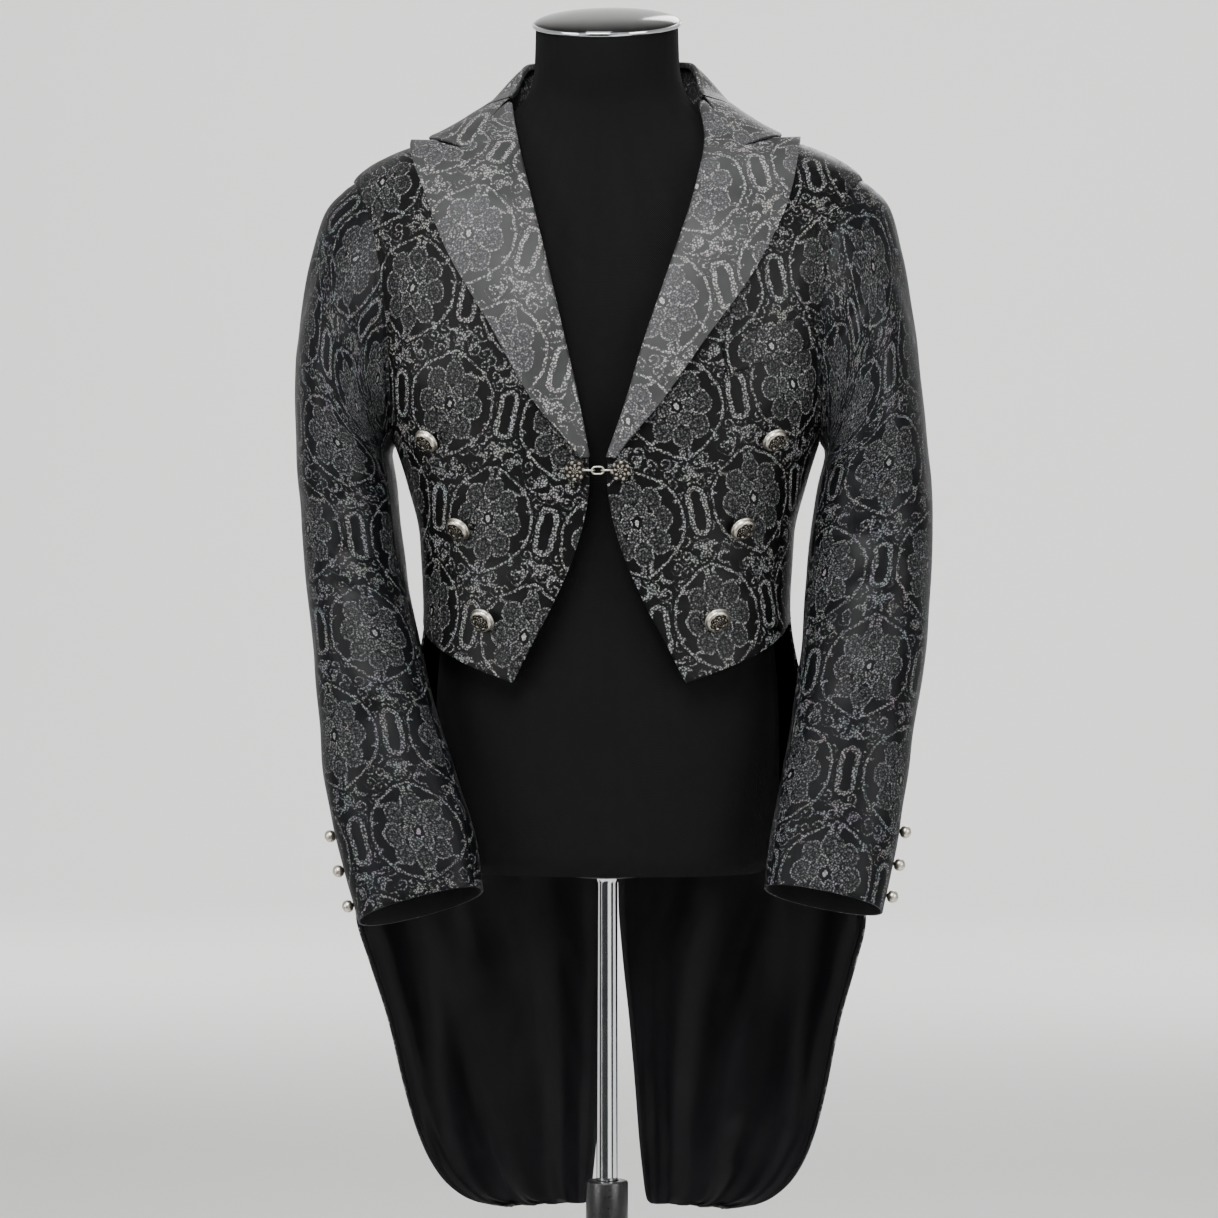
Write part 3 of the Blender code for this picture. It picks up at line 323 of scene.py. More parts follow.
def coat_point(turn, height, out=0.0):
    """A point of the coat's surface, on the left side, moved out along the normal."""
    here = Vector((*ring_point(COAT.at(height), radians(turn)), height))
    if not out:
        return here
    step, rise = 0.02, 0.0002
    round_it = Vector((*ring_point(COAT.at(height), radians(turn + step)), height)) - here
    up = Vector((*ring_point(COAT.at(height + rise), radians(turn)), height + rise)) - here
    return here + out * round_it.cross(up).normalized()


def straight_out(turn, height):
    """The direction straight out of the coat's surface."""
    return (coat_point(turn, height, 0.001) - coat_point(turn, height)).normalized()


def turn_across(across, height):
    """The turn, in front of the side, at which the surface lies so far from the middle."""
    ring = COAT.at(height)
    share = min(across / ring["half"], 1.0)
    rest = (1 - share ** ring["square"]) ** (1 / ring["square"])
    return atan2(share, rest) * 180 / pi


def turn_deep(deep, height):
    """The turn at which the surface lies at this depth, as a Y value."""
    ring = COAT.at(height)
    ahead = ring["middle"] - deep
    share = min(abs(ahead) / (ring["front"] if ahead > 0 else ring["back"]), 1.0)
    side = (1 - share ** ring["square"]) ** (1 / ring["square"])
    turn = atan2(side, share) * 180 / pi
    return turn if ahead > 0 else 180 - turn


def gap_turn(gap, turn, height):
    """The change of turn that moves a point along its ring by this gap."""
    one = (coat_point(turn + 0.5, height) - coat_point(turn - 0.5, height)).length
    return gap / one


def armhole(angle, grow=0.0):
    """The armhole's depth and height at an angle from its top over the front, in radians."""
    ring = SLEEVE[1].at(0)
    reach = squarish(angle, SLEEVE_SQUARE)
    high = (ring["outer_z"] - ring["inner_z"]) / 2 + grow
    deep = ring["middle"] - (ring["deep"] + grow) * reach * sin(angle)
    return deep, (ring["outer_z"] + ring["inner_z"]) / 2 + high * reach * cos(angle)


def side_seam(part, gap):
    """The side seam between the waist and the armpit, with the gap on one side of it."""
    height = between(WAIST_HEIGHT, armhole(pi, ARMHOLE_GAP)[1], part)
    turn = between(WAIST_SIDE_TURN, turn_deep(SLEEVE[1].at(0)["middle"], height), part)
    return turn + gap_turn(gap, turn, height), height


def sleeve_ring(side, station, angle):
    """A point of a sleeve's plain ring, at an angle in radians from its outer point."""
    ring = SLEEVE[side].at(station)
    reach = squarish(angle, SLEEVE_SQUARE)
    along, ahead = reach * cos(angle), ring["deep"] * reach * sin(angle)
    return Vector((
        (ring["outer_x"] + ring["inner_x"]) / 2 + (ring["outer_x"] - ring["inner_x"]) / 2 * along,
        ring["middle"] - ahead,
        (ring["outer_z"] + ring["inner_z"]) / 2 + (ring["outer_z"] - ring["inner_z"]) / 2 * along
        + ring["tilt"] * ahead,
    ))


def sleeve_point(side, station, angle):
    """A point of a sleeve's outer face, whose head runs into the armhole."""
    angle = radians(angle)
    point = sleeve_ring(side, station, angle)
    if station < SLEEVE_HEAD:
        deep, height = armhole(angle)
        seat = coat_point(turn_deep(deep, height), height)
        point += (seat - sleeve_ring(side, 0, angle)) * (1 - station / SLEEVE_HEAD) ** 2
    return point


def hind_angle(station):
    """Where a sleeve's hind seam lies round it at a station."""
    return between(HIND_SEAM[0], HIND_SEAM[1], station / SLEEVE_END)


def seam_gap(side, station, angle):
    """Half the gap at a sleeve's seam, in degrees round the sleeve."""
    near, far = sleeve_point(side, station, angle - 0.5), sleeve_point(side, station, angle + 0.5)
    return RIDGE_GAP / 2 / (far - near).length


def tail_point(part, height, out=0.0):
    """A tail's point, part of the way from its vent edge to its outer edge."""
    row = TAIL.at(height)
    vent = 180 - turn_across(row["vent"], height)
    edge = 180 - turn_across(min(row["edge"], COAT.at(height)["half"]), height)
    turn = between(vent, edge, part)
    swing = (WAIST_HEIGHT - height) / (WAIST_HEIGHT - HEM_HEIGHT)
    flute = FLUTE_DEPTH * swing ** 1.5 * sin(2 * pi * (180 - turn) / FLUTE_TURN)
    return coat_point(turn, height, out + flute)


def lapel_place(side, s, t):
    """Where a lapel's point lies, as across and height: s runs up it, t from roll to edge."""
    top_roll, top_edge = LAPEL_TOP.at(0), LAPEL_TOP.at(1)
    last_roll = LAPEL[side].at(top_roll["height"])["roll"]
    last_edge = LAPEL[side].at(top_edge["height"])["edge"]
    roll_height = between(BREAK_HEIGHT, top_roll["height"], s)
    edge_height = between(BREAK_HEIGHT, top_edge["height"], s)
    roll, edge = LAPEL[side].at(roll_height)["roll"], LAPEL[side].at(edge_height)["edge"]
    bend = max(0, (s - 1 + LAPEL_TOP_SHARE) / LAPEL_TOP_SHARE)
    bend = bend * bend * (3 - 2 * bend)
    top = LAPEL_TOP.at(t)
    shift = top["across"] - between(last_roll, last_edge, t)
    across = between(roll, edge, t) + bend * shift
    height = between(roll_height, edge_height, t)
    height += bend * (top["height"] - between(top_roll["height"], top_edge["height"], t))
    return across, height


def fold_point(station):
    """The collar's fold on the left side: along the gorge seam, then rising behind the neck."""
    row = COLLAR.at(station)
    seat = LAPEL_STAND * max(0, 1 - row["fold_lift"] / COLLAR.at(4)["fold_lift"])
    if station < GORGE_STATIONS:
        gorge = LAPEL_TOP.at(0.5 * (1 - station / GORGE_STATIONS))
        height = gorge["height"] + GORGE_GAP
        point = coat_point(turn_across(gorge["across"] + GORGE_GAP, height), height, seat)
    else:
        point = coat_point(row["fold_turn"], NECK_HEIGHT, seat)
    return point + Vector((0, 0, row["fold_lift"]))


# Making pieces

def hex_colour(text):
    """An sRGB hex value as linear red, green, blue and alpha."""
    parts = [int(text[k:k + 2], 16) / 255 for k in (0, 2, 4)]
    return tuple(c / 12.92 if c <= 0.04045 else ((c + 0.055) / 1.055) ** 2.4 for c in parts) + (1,)


def put(tree, kind, *feeds, out=0, **settings):
    """Adds a node with its settings, feeds its inputs in order, and returns its output. None
    skips an input, and a setting may be a value, another node's output or an option."""
    made = tree.nodes.new("ShaderNode" + kind)
    for name, value in settings.items():
        if name not in made.inputs:
            setattr(made, name, value)
        elif isinstance(value, bpy.types.NodeSocket):
            tree.links.new(value, made.inputs[name])
        else:
            made.inputs[name].default_value = value
    for slot, feed in enumerate(feeds):
        if isinstance(feed, bpy.types.NodeSocket):
            tree.links.new(feed, made.inputs[slot])
        elif feed is not None:
            made.inputs[slot].default_value = feed
    return made.outputs[out]


def clear_choice():
    """Leaves nothing selected for the next operator."""
    for thing in bpy.context.selected_objects:
        thing.select_set(False)


def finish_piece(thing, material, body, *nodes, slot=None):
    """Gives a piece its material, body and the nodes that it stands for. Its slot is not used."""
    thing.data.materials.clear()
    thing.data.materials.append(bpy.data.materials[material])
    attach(thing, body)
    if nodes:
        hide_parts(*nodes)
    clear_choice()
    return thing


def as_grid(rows):
    """Rows of points as one array."""
    return np.array([[tuple(p) for p in row] for row in rows])


def steps_along(grid, axis):
    """The lengths between neighbours of a grid along one axis."""
    return np.linalg.norm(np.diff(grid, axis=axis), axis=2)


def fresh_map(mesh, name):
    """A new map as the mesh's only one."""
    for layer in list(mesh.uv_layers):
        mesh.uv_layers.remove(layer)
    return mesh.uv_layers.new(name=name)


def begin(name):
    """The primitive that was just added, named, with its place in its mesh."""
    thing = bpy.context.object
    thing.name = thing.data.name = name
    bpy.ops.object.transform_apply(location=True, rotation=True, scale=True)
    return thing


def leave_editing():
    """Points all faces outwards and goes back to object mode."""
    bpy.ops.mesh.select_all(action="SELECT")
    bpy.ops.mesh.normals_make_consistent(inside=False)
    bpy.ops.object.mode_set(mode="OBJECT")


def row_lengths(rows):
    """How far each point lies along its row and its middle column, in metres."""
    grid = as_grid(rows)
    across = np.zeros(grid.shape[:2])
    across[:, 1:] = np.cumsum(steps_along(grid, 1), axis=1)
    middle = grid.shape[1] // 2
    across -= across[:, middle:middle + 1]
    up = np.zeros(grid.shape[:2])
    up[1:] = np.cumsum(steps_along(grid, 0), axis=0)
    up = np.repeat(up[:, middle:middle + 1], grid.shape[1], axis=1)
    return np.stack([across, up], axis=2)


@lru_cache(maxsize=None)
def girths(level):
    """Lengths round the coat from its middle front, a degree at a time, 5 mm a level."""
    points = [coat_point(turn, level * MAP_LEVEL) for turn in range(182)]
    total, found = 0.0, [0.0]
    for a, b in zip(points, points[1:]):
        total += (b - a).length
        found.append(total)
    return found


@lru_cache(maxsize=None)
def climb(level):
    """The length up the coat's front to this level, 5 mm a level."""
    if level <= 80:
        return 0.0
    step = coat_point(45, level * MAP_LEVEL) - coat_point(45, level * MAP_LEVEL - MAP_LEVEL)
    return climb(level - 1) + step.length


def flat_place(turn, height):
    """Where a point of the coat lies when its cloth is flat, in metres."""
    level, degree = height / MAP_LEVEL, min(max(turn, 0), 180.9)
    low, whole = int(level), int(degree)
    found = []
    for row in (low, low + 1):
        lengths = girths(row)
        found.append(between(lengths[whole], lengths[whole + 1], degree - whole))
    return (between(found[0], found[1], level - low),
            between(climb(low), climb(low + 1), level - low))


def cloth(name, rows, side=1, wall=WALL, plan=None, tilt=0, flower=None, flip=False,
          down=False, even=True):
    """A wall of cloth from rows of points on its outer face. Its map "Cloth" holds metres
    along the flat cloth, turned by tilt, with a flower of the pattern at the named place."""
    grid = as_grid(rows) * (side, 1, 1)
    lengths = np.array(plan, float) if plan is not None else row_lengths(rows)
    lengths = lengths * (side, -1 if down else 1)
    up, across = grid.shape[0] - 1, grid.shape[1] - 1
    turn = radians(tilt) * side
    spin = np.array([[cos(turn), -sin(turn)], [sin(turn), cos(turn)]])
    lengths = lengths @ spin.T
    if flower is not None:
        seen = grid[:, :, [0, 2]] - np.array(flower)
        nearest = np.unravel_index(np.argmin((seen ** 2).sum(axis=2)), seen.shape[:2])
        lengths = lengths - lengths[nearest]
    clear_choice()
    bpy.ops.mesh.primitive_grid_add(x_subdivisions=across, y_subdivisions=up, size=1)
    thing = bpy.context.object
    thing.name = thing.data.name = name
    mesh = thing.data
    if len(mesh.vertices) != (across + 1) * (up + 1):
        raise RuntimeError(f"{name}: the grid has {len(mesh.vertices)} points")
    flat = np.zeros(len(mesh.vertices) * 3)
    mesh.vertices.foreach_get("co", flat)
    flat = flat.reshape(-1, 3)
    column = np.rint((flat[:, 0] + 0.5) * across).astype(int)
    row = np.rint((flat[:, 1] + 0.5) * up).astype(int)
    mesh.vertices.foreach_set("co", grid[row, column].ravel())
    layer = fresh_map(mesh, "Cloth")
    corner = np.zeros(len(mesh.loops), np.int32)
    mesh.loops.foreach_get("vertex_index", corner)
    layer.data.foreach_set("uv", lengths[row, column][corner].astype(np.float32).ravel())
    if flip:
        mesh.flip_normals()
    mesh.shade_smooth()
    mesh.update()
    solid = thing.modifiers.new("Wall", "SOLIDIFY")
    solid.thickness, solid.offset, solid.use_even_offset = wall, -1.0, even
    solid.material_offset = 1
    edge = thing.modifiers.new("Edges", "BEVEL")
    edge.width, edge.segments, edge.limit_method = wall * 0.32, 2, "ANGLE"
    edge.angle_limit = radians(50)
    return thing


def sheet_area(rows):
    """The flat area, width and length of rows of points."""
    grid = as_grid(rows)
    a, b = grid[1:, 1:] - grid[:-1, :-1], grid[1:, :-1] - grid[:-1, 1:]
    area = np.linalg.norm(np.cross(a, b), axis=2).sum() / 2
    wide, long = steps_along(grid, 1).sum(axis=1).max(), steps_along(grid, 0).sum(axis=0).max()
    return float(area), float(wide), float(long)


def tailored(name, rows, node, held="hung", rests_on="dress_form", slot="brocade",
             material=FRONT_CLOTH, back=REVERSE, **kinds):
    """A panel of the coat: its cloth, finishes and node. Its flat area is worked out but not kept.
    """
    thing = cloth(name, rows, **kinds)
    finish_piece(thing, material, CLOTH_BODY, node, slot=slot)
    thing.data.materials.append(bpy.data.materials[back])
    area, wide, long = sheet_area(rows)
    round(min(max(area, 0.305 * wide * long), 0.995 * wide * long), 4)
    return thing


def smooth(share):
    """A share from 0 to 1 that leaves 0 and reaches 1 gently."""
    share = min(max(share, 0.0), 1.0)
    return share * share * (3 - 2 * share)


def crease(creases, a, b):
    """How far soft creases push the cloth out at a place. Each row of creases runs from one
    place to another, with its depth (in when negative) and width."""
    push = 0.0
    for a0, b0, a1, b1, depth, width in creases:
        long = (a1 - a0) ** 2 + (b1 - b0) ** 2
        part = ((a - a0) * (a1 - a0) + (b - b0) * (b1 - b0)) / long
        if -0.4 < part < 1.4:
            near = min(max(part, 0), 1)
            off = ((a - a0 - near * (a1 - a0)) ** 2 + (b - b0 - near * (b1 - b0)) ** 2) ** 0.5
            if off < 3 * width:
                swell = (off / width) ** 2
                push += depth * (1 - 0.55 * swell) * FALL ** -swell
    return push


def uneven(point, size=0.05, depth=0.0008):
    """The cloth's slight unevenness at a point."""
    return depth * noise.noise(Vector(point) / size)


# Finishes

def new_finish(name):
    """A new material's node tree and its shader."""
    made = bpy.data.materials.new(name)
    made.use_nodes = True
    return made.node_tree, made.node_tree.nodes["Principled BSDF"]


def brightest(tree, masks, share=1.0):
    """The highest of some masks at each place, scaled."""
    found = masks[0]
    for mask in masks[1:]:
        found = put(tree, "Math", found, mask, operation="MAXIMUM")
    return put(tree, "Math", found, share, operation="MULTIPLY")


def brocade_threads(tree, wide, high):
    """The brocade's repeat in millimetres on the cloth: how far its threads cover the ground,
    where its flowers are, the place itself, and a painted highlight that brightens the cords at
    their knots. Folded, so that one quarter draws all."""
    half, tall = wide / 2, high / 2
    cloth_map = put(tree, "UVMap", uv_map="Cloth")
    mm = put(tree, "VectorMath", cloth_map, (1000, 1000, 0), operation="MULTIPLY")
    here = mm
    for scale, far in ((0.07, 3.6), (0.42, 2.6)):   # the hand of the loom, then of each cord
        sway = put(tree, "TexNoise", mm, out=1, noise_dimensions="2D", Scale=scale, Detail=1)
        sway = put(tree, "VectorMath", sway, (0.5, 0.5, 0.5), operation="SUBTRACT")
        sway = put(tree, "VectorMath", sway, operation="SCALE", Scale=far)
        here = put(tree, "VectorMath", here, sway, operation="ADD")
    split = put(tree, "SeparateXYZ", here)
    across = put(tree, "Math", split, half, operation="PINGPONG")
    along = put(tree, "Math", split.node.outputs[1], tall, operation="PINGPONG")
    share = put(tree, "Math", along, tall, operation="DIVIDE")
    share = put(tree, "Math", across, 1 / half, share, operation="MULTIPLY_ADD")
    far = put(tree, "Math", share, 1, operation="GREATER_THAN")
    near = put(tree, "CombineXYZ", across, along)
    other = put(tree, "VectorMath", (half, tall, 0), near, operation="SUBTRACT")
    fold = put(tree, "Mix", far, None, None, None, near, other, out=1, data_type="VECTOR")
    split = put(tree, "SeparateXYZ", fold)
    x, y = split, split.node.outputs[1]

    # The plain satin ogee and the thick beaded line round it.
    q = put(tree, "Math", y, tall * 0.505, operation="DIVIDE")
    bow = put(tree, "Math", q, 2.6, operation="POWER")
    side = put(tree, "Math", bow, -half * 0.735, half * 0.735, operation="MULTIPLY_ADD")
    steep = put(tree, "Math", q, 3.2, operation="POWER")
    slant = put(tree, "Math", steep, 4.24, 1, operation="MULTIPLY_ADD")
    slant = put(tree, "Math", slant, operation="SQRT")
    away = put(tree, "Math", x, side, operation="SUBTRACT")
    away = put(tree, "Math", away, slant, operation="DIVIDE")
    bright = [put(tree, "Math", away, 0.0, 1.15, operation="COMPARE")]

    # The flower: eight outlined petals round six smaller ones and a bright middle.
    flat = put(tree, "VectorMath", fold, (1, 0.82, 1), operation="MULTIPLY")
    reach = put(tree, "VectorMath", flat, out=1, operation="LENGTH")
    split = put(tree, "SeparateXYZ", flat)
    angle = put(tree, "Math", split.node.outputs[1], split, operation="ARCTAN2")
    outlines, fills = [], []
    for count, middle, radius, inside in ((8, 22.0, 8.3, 15.5), (6, 10.6, 4.9, 0)):
        turn = put(tree, "Math", angle, pi / count, operation="PINGPONG")
        level = put(tree, "Math", turn, operation="COSINE")
        level = put(tree, "Math", level, reach, operation="MULTIPLY")
        aside = put(tree, "Math", turn, operation="SINE")
        aside = put(tree, "Math", aside, reach, operation="MULTIPLY")
        petal = put(tree, "CombineXYZ", level, aside)
        petal = put(tree, "VectorMath", petal, (middle, 0, 0), out=1, operation="DISTANCE")
        beyond = put(tree, "Math", reach, inside, operation="GREATER_THAN")
        for size, width, found in ((radius, 1.0, outlines), (radius * 0.46, 0.8, outlines),
                                   (radius * 0.5, radius * 0.5, fills)):
            line = put(tree, "Math", petal, size, width, operation="COMPARE")
            found.append(put(tree, "Math", line, beyond, operation="MULTIPLY"))
    eye = put(tree, "VectorMath", fold, (1, 0.6, 1), operation="MULTIPLY")
    eye = put(tree, "VectorMath", eye, out=1, operation="LENGTH")
    eye = put(tree, "Math", eye, 1.9, operation="LESS_THAN")

    # Pairs of curled leaves that point into the ogee from its ends and its corners.
    leaves = []
    for outer, radius, inner, bite in (
            ((5.6, 42, 0), 4.8, (8.6, 40.4, 0), 4.0), ((26, 30, 0), 4.6, (23.6, 32, 0), 3.7),
            ((37, 14, 0), 3.2, (35.2, 16, 0), 2.7), ((6.5, 60, 0), 7.2, (9.8, 57, 0), 6.2),
            ((15, 52, 0), 6.0, (17.5, 49.5, 0), 5.0)):
        leaf = put(tree, "VectorMath", fold, outer, out=1, operation="DISTANCE")
        leaf = put(tree, "Math", leaf, radius, operation="LESS_THAN")
        cut = put(tree, "VectorMath", fold, inner, out=1, operation="DISTANCE")
        cut = put(tree, "Math", cut, bite, operation="GREATER_THAN")
        leaves.append(put(tree, "Math", leaf, cut, operation="MULTIPLY"))

    # The upright rings between flowers, of which a quarter holds parts of two.
    low = put(tree, "Math", y, 13, operation="SUBTRACT")
    low = put(tree, "Math", low, 0, operation="MAXIMUM")
    high_up = put(tree, "Math", tall - 13, y, operation="SUBTRACT")
    high_up = put(tree, "Math", high_up, 0, operation="MAXIMUM")
    aside = put(tree, "Math", x, half, operation="SUBTRACT")
    ring = put(tree, "CombineXYZ", aside, low)
    ring = put(tree, "VectorMath", ring, out=1, operation="LENGTH")
    other = put(tree, "CombineXYZ", x, high_up)
    other = put(tree, "VectorMath", other, out=1, operation="LENGTH")
    ring = put(tree, "Math", ring, other, operation="MINIMUM")
    bright.append(put(tree, "Math", ring, 7.0, 2.3, operation="COMPARE"))
    clear = put(tree, "Math", ring, 11.3, operation="GREATER_THAN")

    # Scrolls fill the rest: a spiral in each of many small cells.
    middle = put(tree, "TexVoronoi", here, out=2, voronoi_dimensions="2D", Scale=0.080,
                 Randomness=0.85)
    curl = put(tree, "VectorMath", here, middle, operation="SUBTRACT")
    reach = put(tree, "VectorMath", curl, out=1, operation="LENGTH")
    split = put(tree, "SeparateXYZ", curl)
    turn = put(tree, "Math", split.node.outputs[1], split, operation="ARCTAN2")
    turn = put(tree, "Math", turn, 1 / (2 * pi), operation="MULTIPLY")
    turn = put(tree, "Math", reach, 1 / 4.7, turn, operation="MULTIPLY_ADD")
    turn = put(tree, "Math", turn, 0.5, operation="PINGPONG")
    curls = put(tree, "MapRange", turn, 0.12, 0.21, 1.0, 0.0)
    whole = put(tree, "MapRange", reach, 5.6, 6.6, 1.0, 0.0)
    curls = put(tree, "Math", curls, whole, operation="MULTIPLY")
    dense = put(tree, "Math", away, 3.2, operation="GREATER_THAN")
    dense = put(tree, "Math", dense, clear, operation="MULTIPLY")
    dense = put(tree, "Math", dense, curls, operation="MULTIPLY")

    flower = brightest(tree, fills)
    threads = brightest(tree, [
        brightest(tree, bright, 0.92), brightest(tree, leaves, 0.80),
        brightest(tree, outlines, 0.90), brightest(tree, fills, 0.26),
        brightest(tree, [dense], 0.84)])
    # Each cord is a string of small knots, about 2 mm apart, and some are worn thin. A painted
    # highlight brightens each knot's middle and dims the cord between.
    beads = put(tree, "TexVoronoi", mm, voronoi_dimensions="2D", Scale=0.50, Randomness=1.0)
    knots = put(tree, "MapRange", beads, 0.15, 0.62, 1.0, 0.10)
    painted_glint = put(tree, "MapRange", beads, 0.05, 0.42, 1.8, 0.72)
    thin = put(tree, "TexNoise", mm, noise_dimensions="2D", Scale=0.16, Detail=3, Roughness=0.7)
    thin = put(tree, "MapRange", thin, 0.36, 0.60, 0.42, 1.0)
    threads = put(tree, "Math", threads, knots, operation="MULTIPLY")
    threads = put(tree, "Math", threads, thin, operation="MULTIPLY")
    threads = put(tree, "Math", threads, eye, operation="MAXIMUM")
    return mm, threads, flower, painted_glint


def brocade(name, ground, thread, bloom, wide, high, gloss, shine):
    """Silk brocade: a satin ground of long floats, which gleams, under cut and couched cords,
    which scatter light. The cords stand about a third of a millimetre proud."""
    tree, shader = new_finish(name)
    mm, raised, flower, painted_glint = brocade_threads(tree, wide, high)
    # The cords are dyed unevenly, with a trace of violet, pink and green.
    dye = put(tree, "TexNoise", mm, out=1, noise_dimensions="2D", Scale=0.045, Detail=3)
    cord = put(tree, "Mix", 0.07, None, None, None, None, None, thread, dye, out=2,
               data_type="RGBA")
    cord = put(tree, "Mix", flower, None, None, None, None, None, cord, bloom, out=2,
               data_type="RGBA")
    # Painted highlights: the cord colour is brightened at the middle of each knot.
    cord = put(tree, "VectorMath", cord, operation="SCALE", Scale=painted_glint)
    # The satin's floats are 0.3 mm apart, drawn 1.1 mm apart so that they show.
    floats = put(tree, "TexWave", mm, bands_direction="DIAGONAL", Scale=0.29, Distortion=1.4,
                 Detail=1.0)
    worn = put(tree, "TexNoise", mm, noise_dimensions="2D", Scale=0.016, Detail=4)
    worn = put(tree, "MapRange", worn, 0.3, 0.7, 0.72, 1.28)
    grey = put(tree, "MapRange", floats, 0.0, 1.0, 0.90, 1.10)
    grey = put(tree, "Math", grey, worn, operation="MULTIPLY")
    satin = put(tree, "VectorMath", ground[:3], operation="SCALE", Scale=grey)
    skin = put(tree, "Mix", raised, None, None, None, None, None, satin, cord, out=2,
               data_type="RGBA")
    tree.links.new(skin, shader.inputs["Base Color"])
    rough = put(tree, "MapRange", raised, 0.0, 0.7, gloss, 0.78)
    tree.links.new(rough, shader.inputs["Roughness"])
    lie = put(tree, "Math", floats, 0.06, raised, operation="MULTIPLY_ADD")
    bump = put(tree, "Bump", Strength=0.6, Distance=0.0004, Height=lie)
    tree.links.new(bump, shader.inputs["Normal"])
    shader.inputs["Specular IOR Level"].default_value = shine


def plain_cloth(name, colour, gloss, pitch, depth, streak, shine):
    """A plain cloth whose threads are pitch millimetres apart; it varies a little in colour."""
    tree, shader = new_finish(name)
    cloth_map = put(tree, "UVMap", uv_map="Cloth")
    mm = put(tree, "VectorMath", cloth_map, (1000, 1000, 0), operation="MULTIPLY")
    threads = put(tree, "TexWave", mm, bands_direction="DIAGONAL", Scale=0.314 / pitch,
                  Distortion=1.0, Detail=1.0)
    long = put(tree, "VectorMath", mm, (1.0, 0.12, 0), operation="MULTIPLY")
    patch = put(tree, "TexNoise", long, noise_dimensions="2D", Scale=0.05, Detail=4)
    tone = put(tree, "MapRange", patch, 0.3, 0.7, 1 - streak, 1 + streak)
    tinted = put(tree, "VectorMath", colour[:3], operation="SCALE", Scale=tone)
    tree.links.new(tinted, shader.inputs["Base Color"])
    rough = put(tree, "MapRange", patch, 0.3, 0.7, gloss - 0.05, gloss + 0.06)
    tree.links.new(rough, shader.inputs["Roughness"])
    bump = put(tree, "Bump", Strength=0.4, Distance=depth, Height=threads)
    tree.links.new(bump, shader.inputs["Normal"])
    shader.inputs["Specular IOR Level"].default_value = shine


def hard_finish(name, colour, metallic, gloss, scale, vary, depth):
    """A metal or lacquer with small unevenness in gloss and surface, on Object coordinates."""
    tree, shader = new_finish(name)
    place = put(tree, "TexCoord", out=3)
    patch = put(tree, "TexNoise", place, Scale=scale, Detail=4, Roughness=0.6)
    tone = put(tree, "MapRange", patch, 0.3, 0.7, 1 - vary, 1.0)
    tinted = put(tree, "VectorMath", colour[:3], operation="SCALE", Scale=tone)
    tree.links.new(tinted, shader.inputs["Base Color"])
    rough = put(tree, "MapRange", patch, 0.3, 0.7, gloss * 0.8, gloss * 1.25)
    tree.links.new(rough, shader.inputs["Roughness"])
    bump = put(tree, "Bump", Strength=0.5, Distance=depth, Height=patch)
    tree.links.new(bump, shader.inputs["Normal"])
    shader.inputs["Metallic"].default_value = metallic


def cast_silver(name, bright, tarnish):
    """Cast antique silver: rubbed bright on its plain rims and high lines, and black where
    polish never reaches. Its map "Face" holds shares of each casting's radius."""
    tree, shader = new_finish(name)
    face = put(tree, "UVMap", uv_map="Face")
    reach = put(tree, "VectorMath", face, out=1, operation="LENGTH")
    split = put(tree, "SeparateXYZ", face)
    angle = put(tree, "Math", split.node.outputs[1], split, operation="ARCTAN2")
    # Leaves that wind out from the middle, ring by ring.
    leaves = put(tree, "Math", angle, 7, operation="MULTIPLY")
    leaves = put(tree, "Math", reach, 9.0, leaves, operation="MULTIPLY_ADD")
    leaves = put(tree, "Math", leaves, operation="COSINE")
    rings = put(tree, "Math", reach, 33.0, operation="MULTIPLY")
    rings = put(tree, "Math", rings, operation="SINE")
    relief = put(tree, "Math", leaves, rings, operation="MULTIPLY")
    carved = put(tree, "MapRange", relief, 0.0, 0.8, 0.0, 0.62)
    plain = put(tree, "Math", reach, CARVED_SHARE, operation="GREATER_THAN")
    carved = put(tree, "Math", carved, plain, operation="MAXIMUM")
    place = put(tree, "TexCoord", out=3)
    grain = put(tree, "TexNoise", place, Scale=700, Detail=3)
    grain = put(tree, "MapRange", grain, 0.3, 0.7, 0.72, 1.0)
    shown = put(tree, "Math", carved, grain, operation="MULTIPLY")
    skin = put(tree, "Mix", shown, None, None, None, None, None, tarnish, bright, out=2,
               data_type="RGBA")
    tree.links.new(skin, shader.inputs["Base Color"])
    rough = put(tree, "MapRange", shown, 0.0, 1.0, 0.6, 0.30)
    tree.links.new(rough, shader.inputs["Roughness"])
    bump = put(tree, "Bump", Strength=0.8, Distance=0.0004, Height=carved)
    tree.links.new(bump, shader.inputs["Normal"])
    shader.inputs["Metallic"].default_value = 1.0


# Panels of the coat

def ruled(left, right, columns, creases=(), dip=0.0):
    """Rows from left places to right ones, quiet along both, as they are sewn there, and
    dipped along the armhole, which is at the right for a positive dip and else at the left."""
    rows, plan = [], []
    for a, b in zip(left, right):
        points, flat = [], []
        for t in spread(columns):
            turn, height = between(a[0], b[0], t), between(a[1], b[1], t)
            here = coat_point(turn, height)
            quiet = smooth(min(t, 1 - t) * 12)
            push = (crease(creases, here.x, height) + uneven(here)) * quiet
            if height > SEAM_DIP_FROM:
                near = (1 - t if dip > 0 else t) * abs(b[0] - a[0]) / 5
                push -= abs(dip) * FALL ** -(near * near)
            points.append(coat_point(turn, height, push))
            flat.append(flat_place(turn, height))
        rows.append(points)
        plan.append(flat)
    return rows, plan


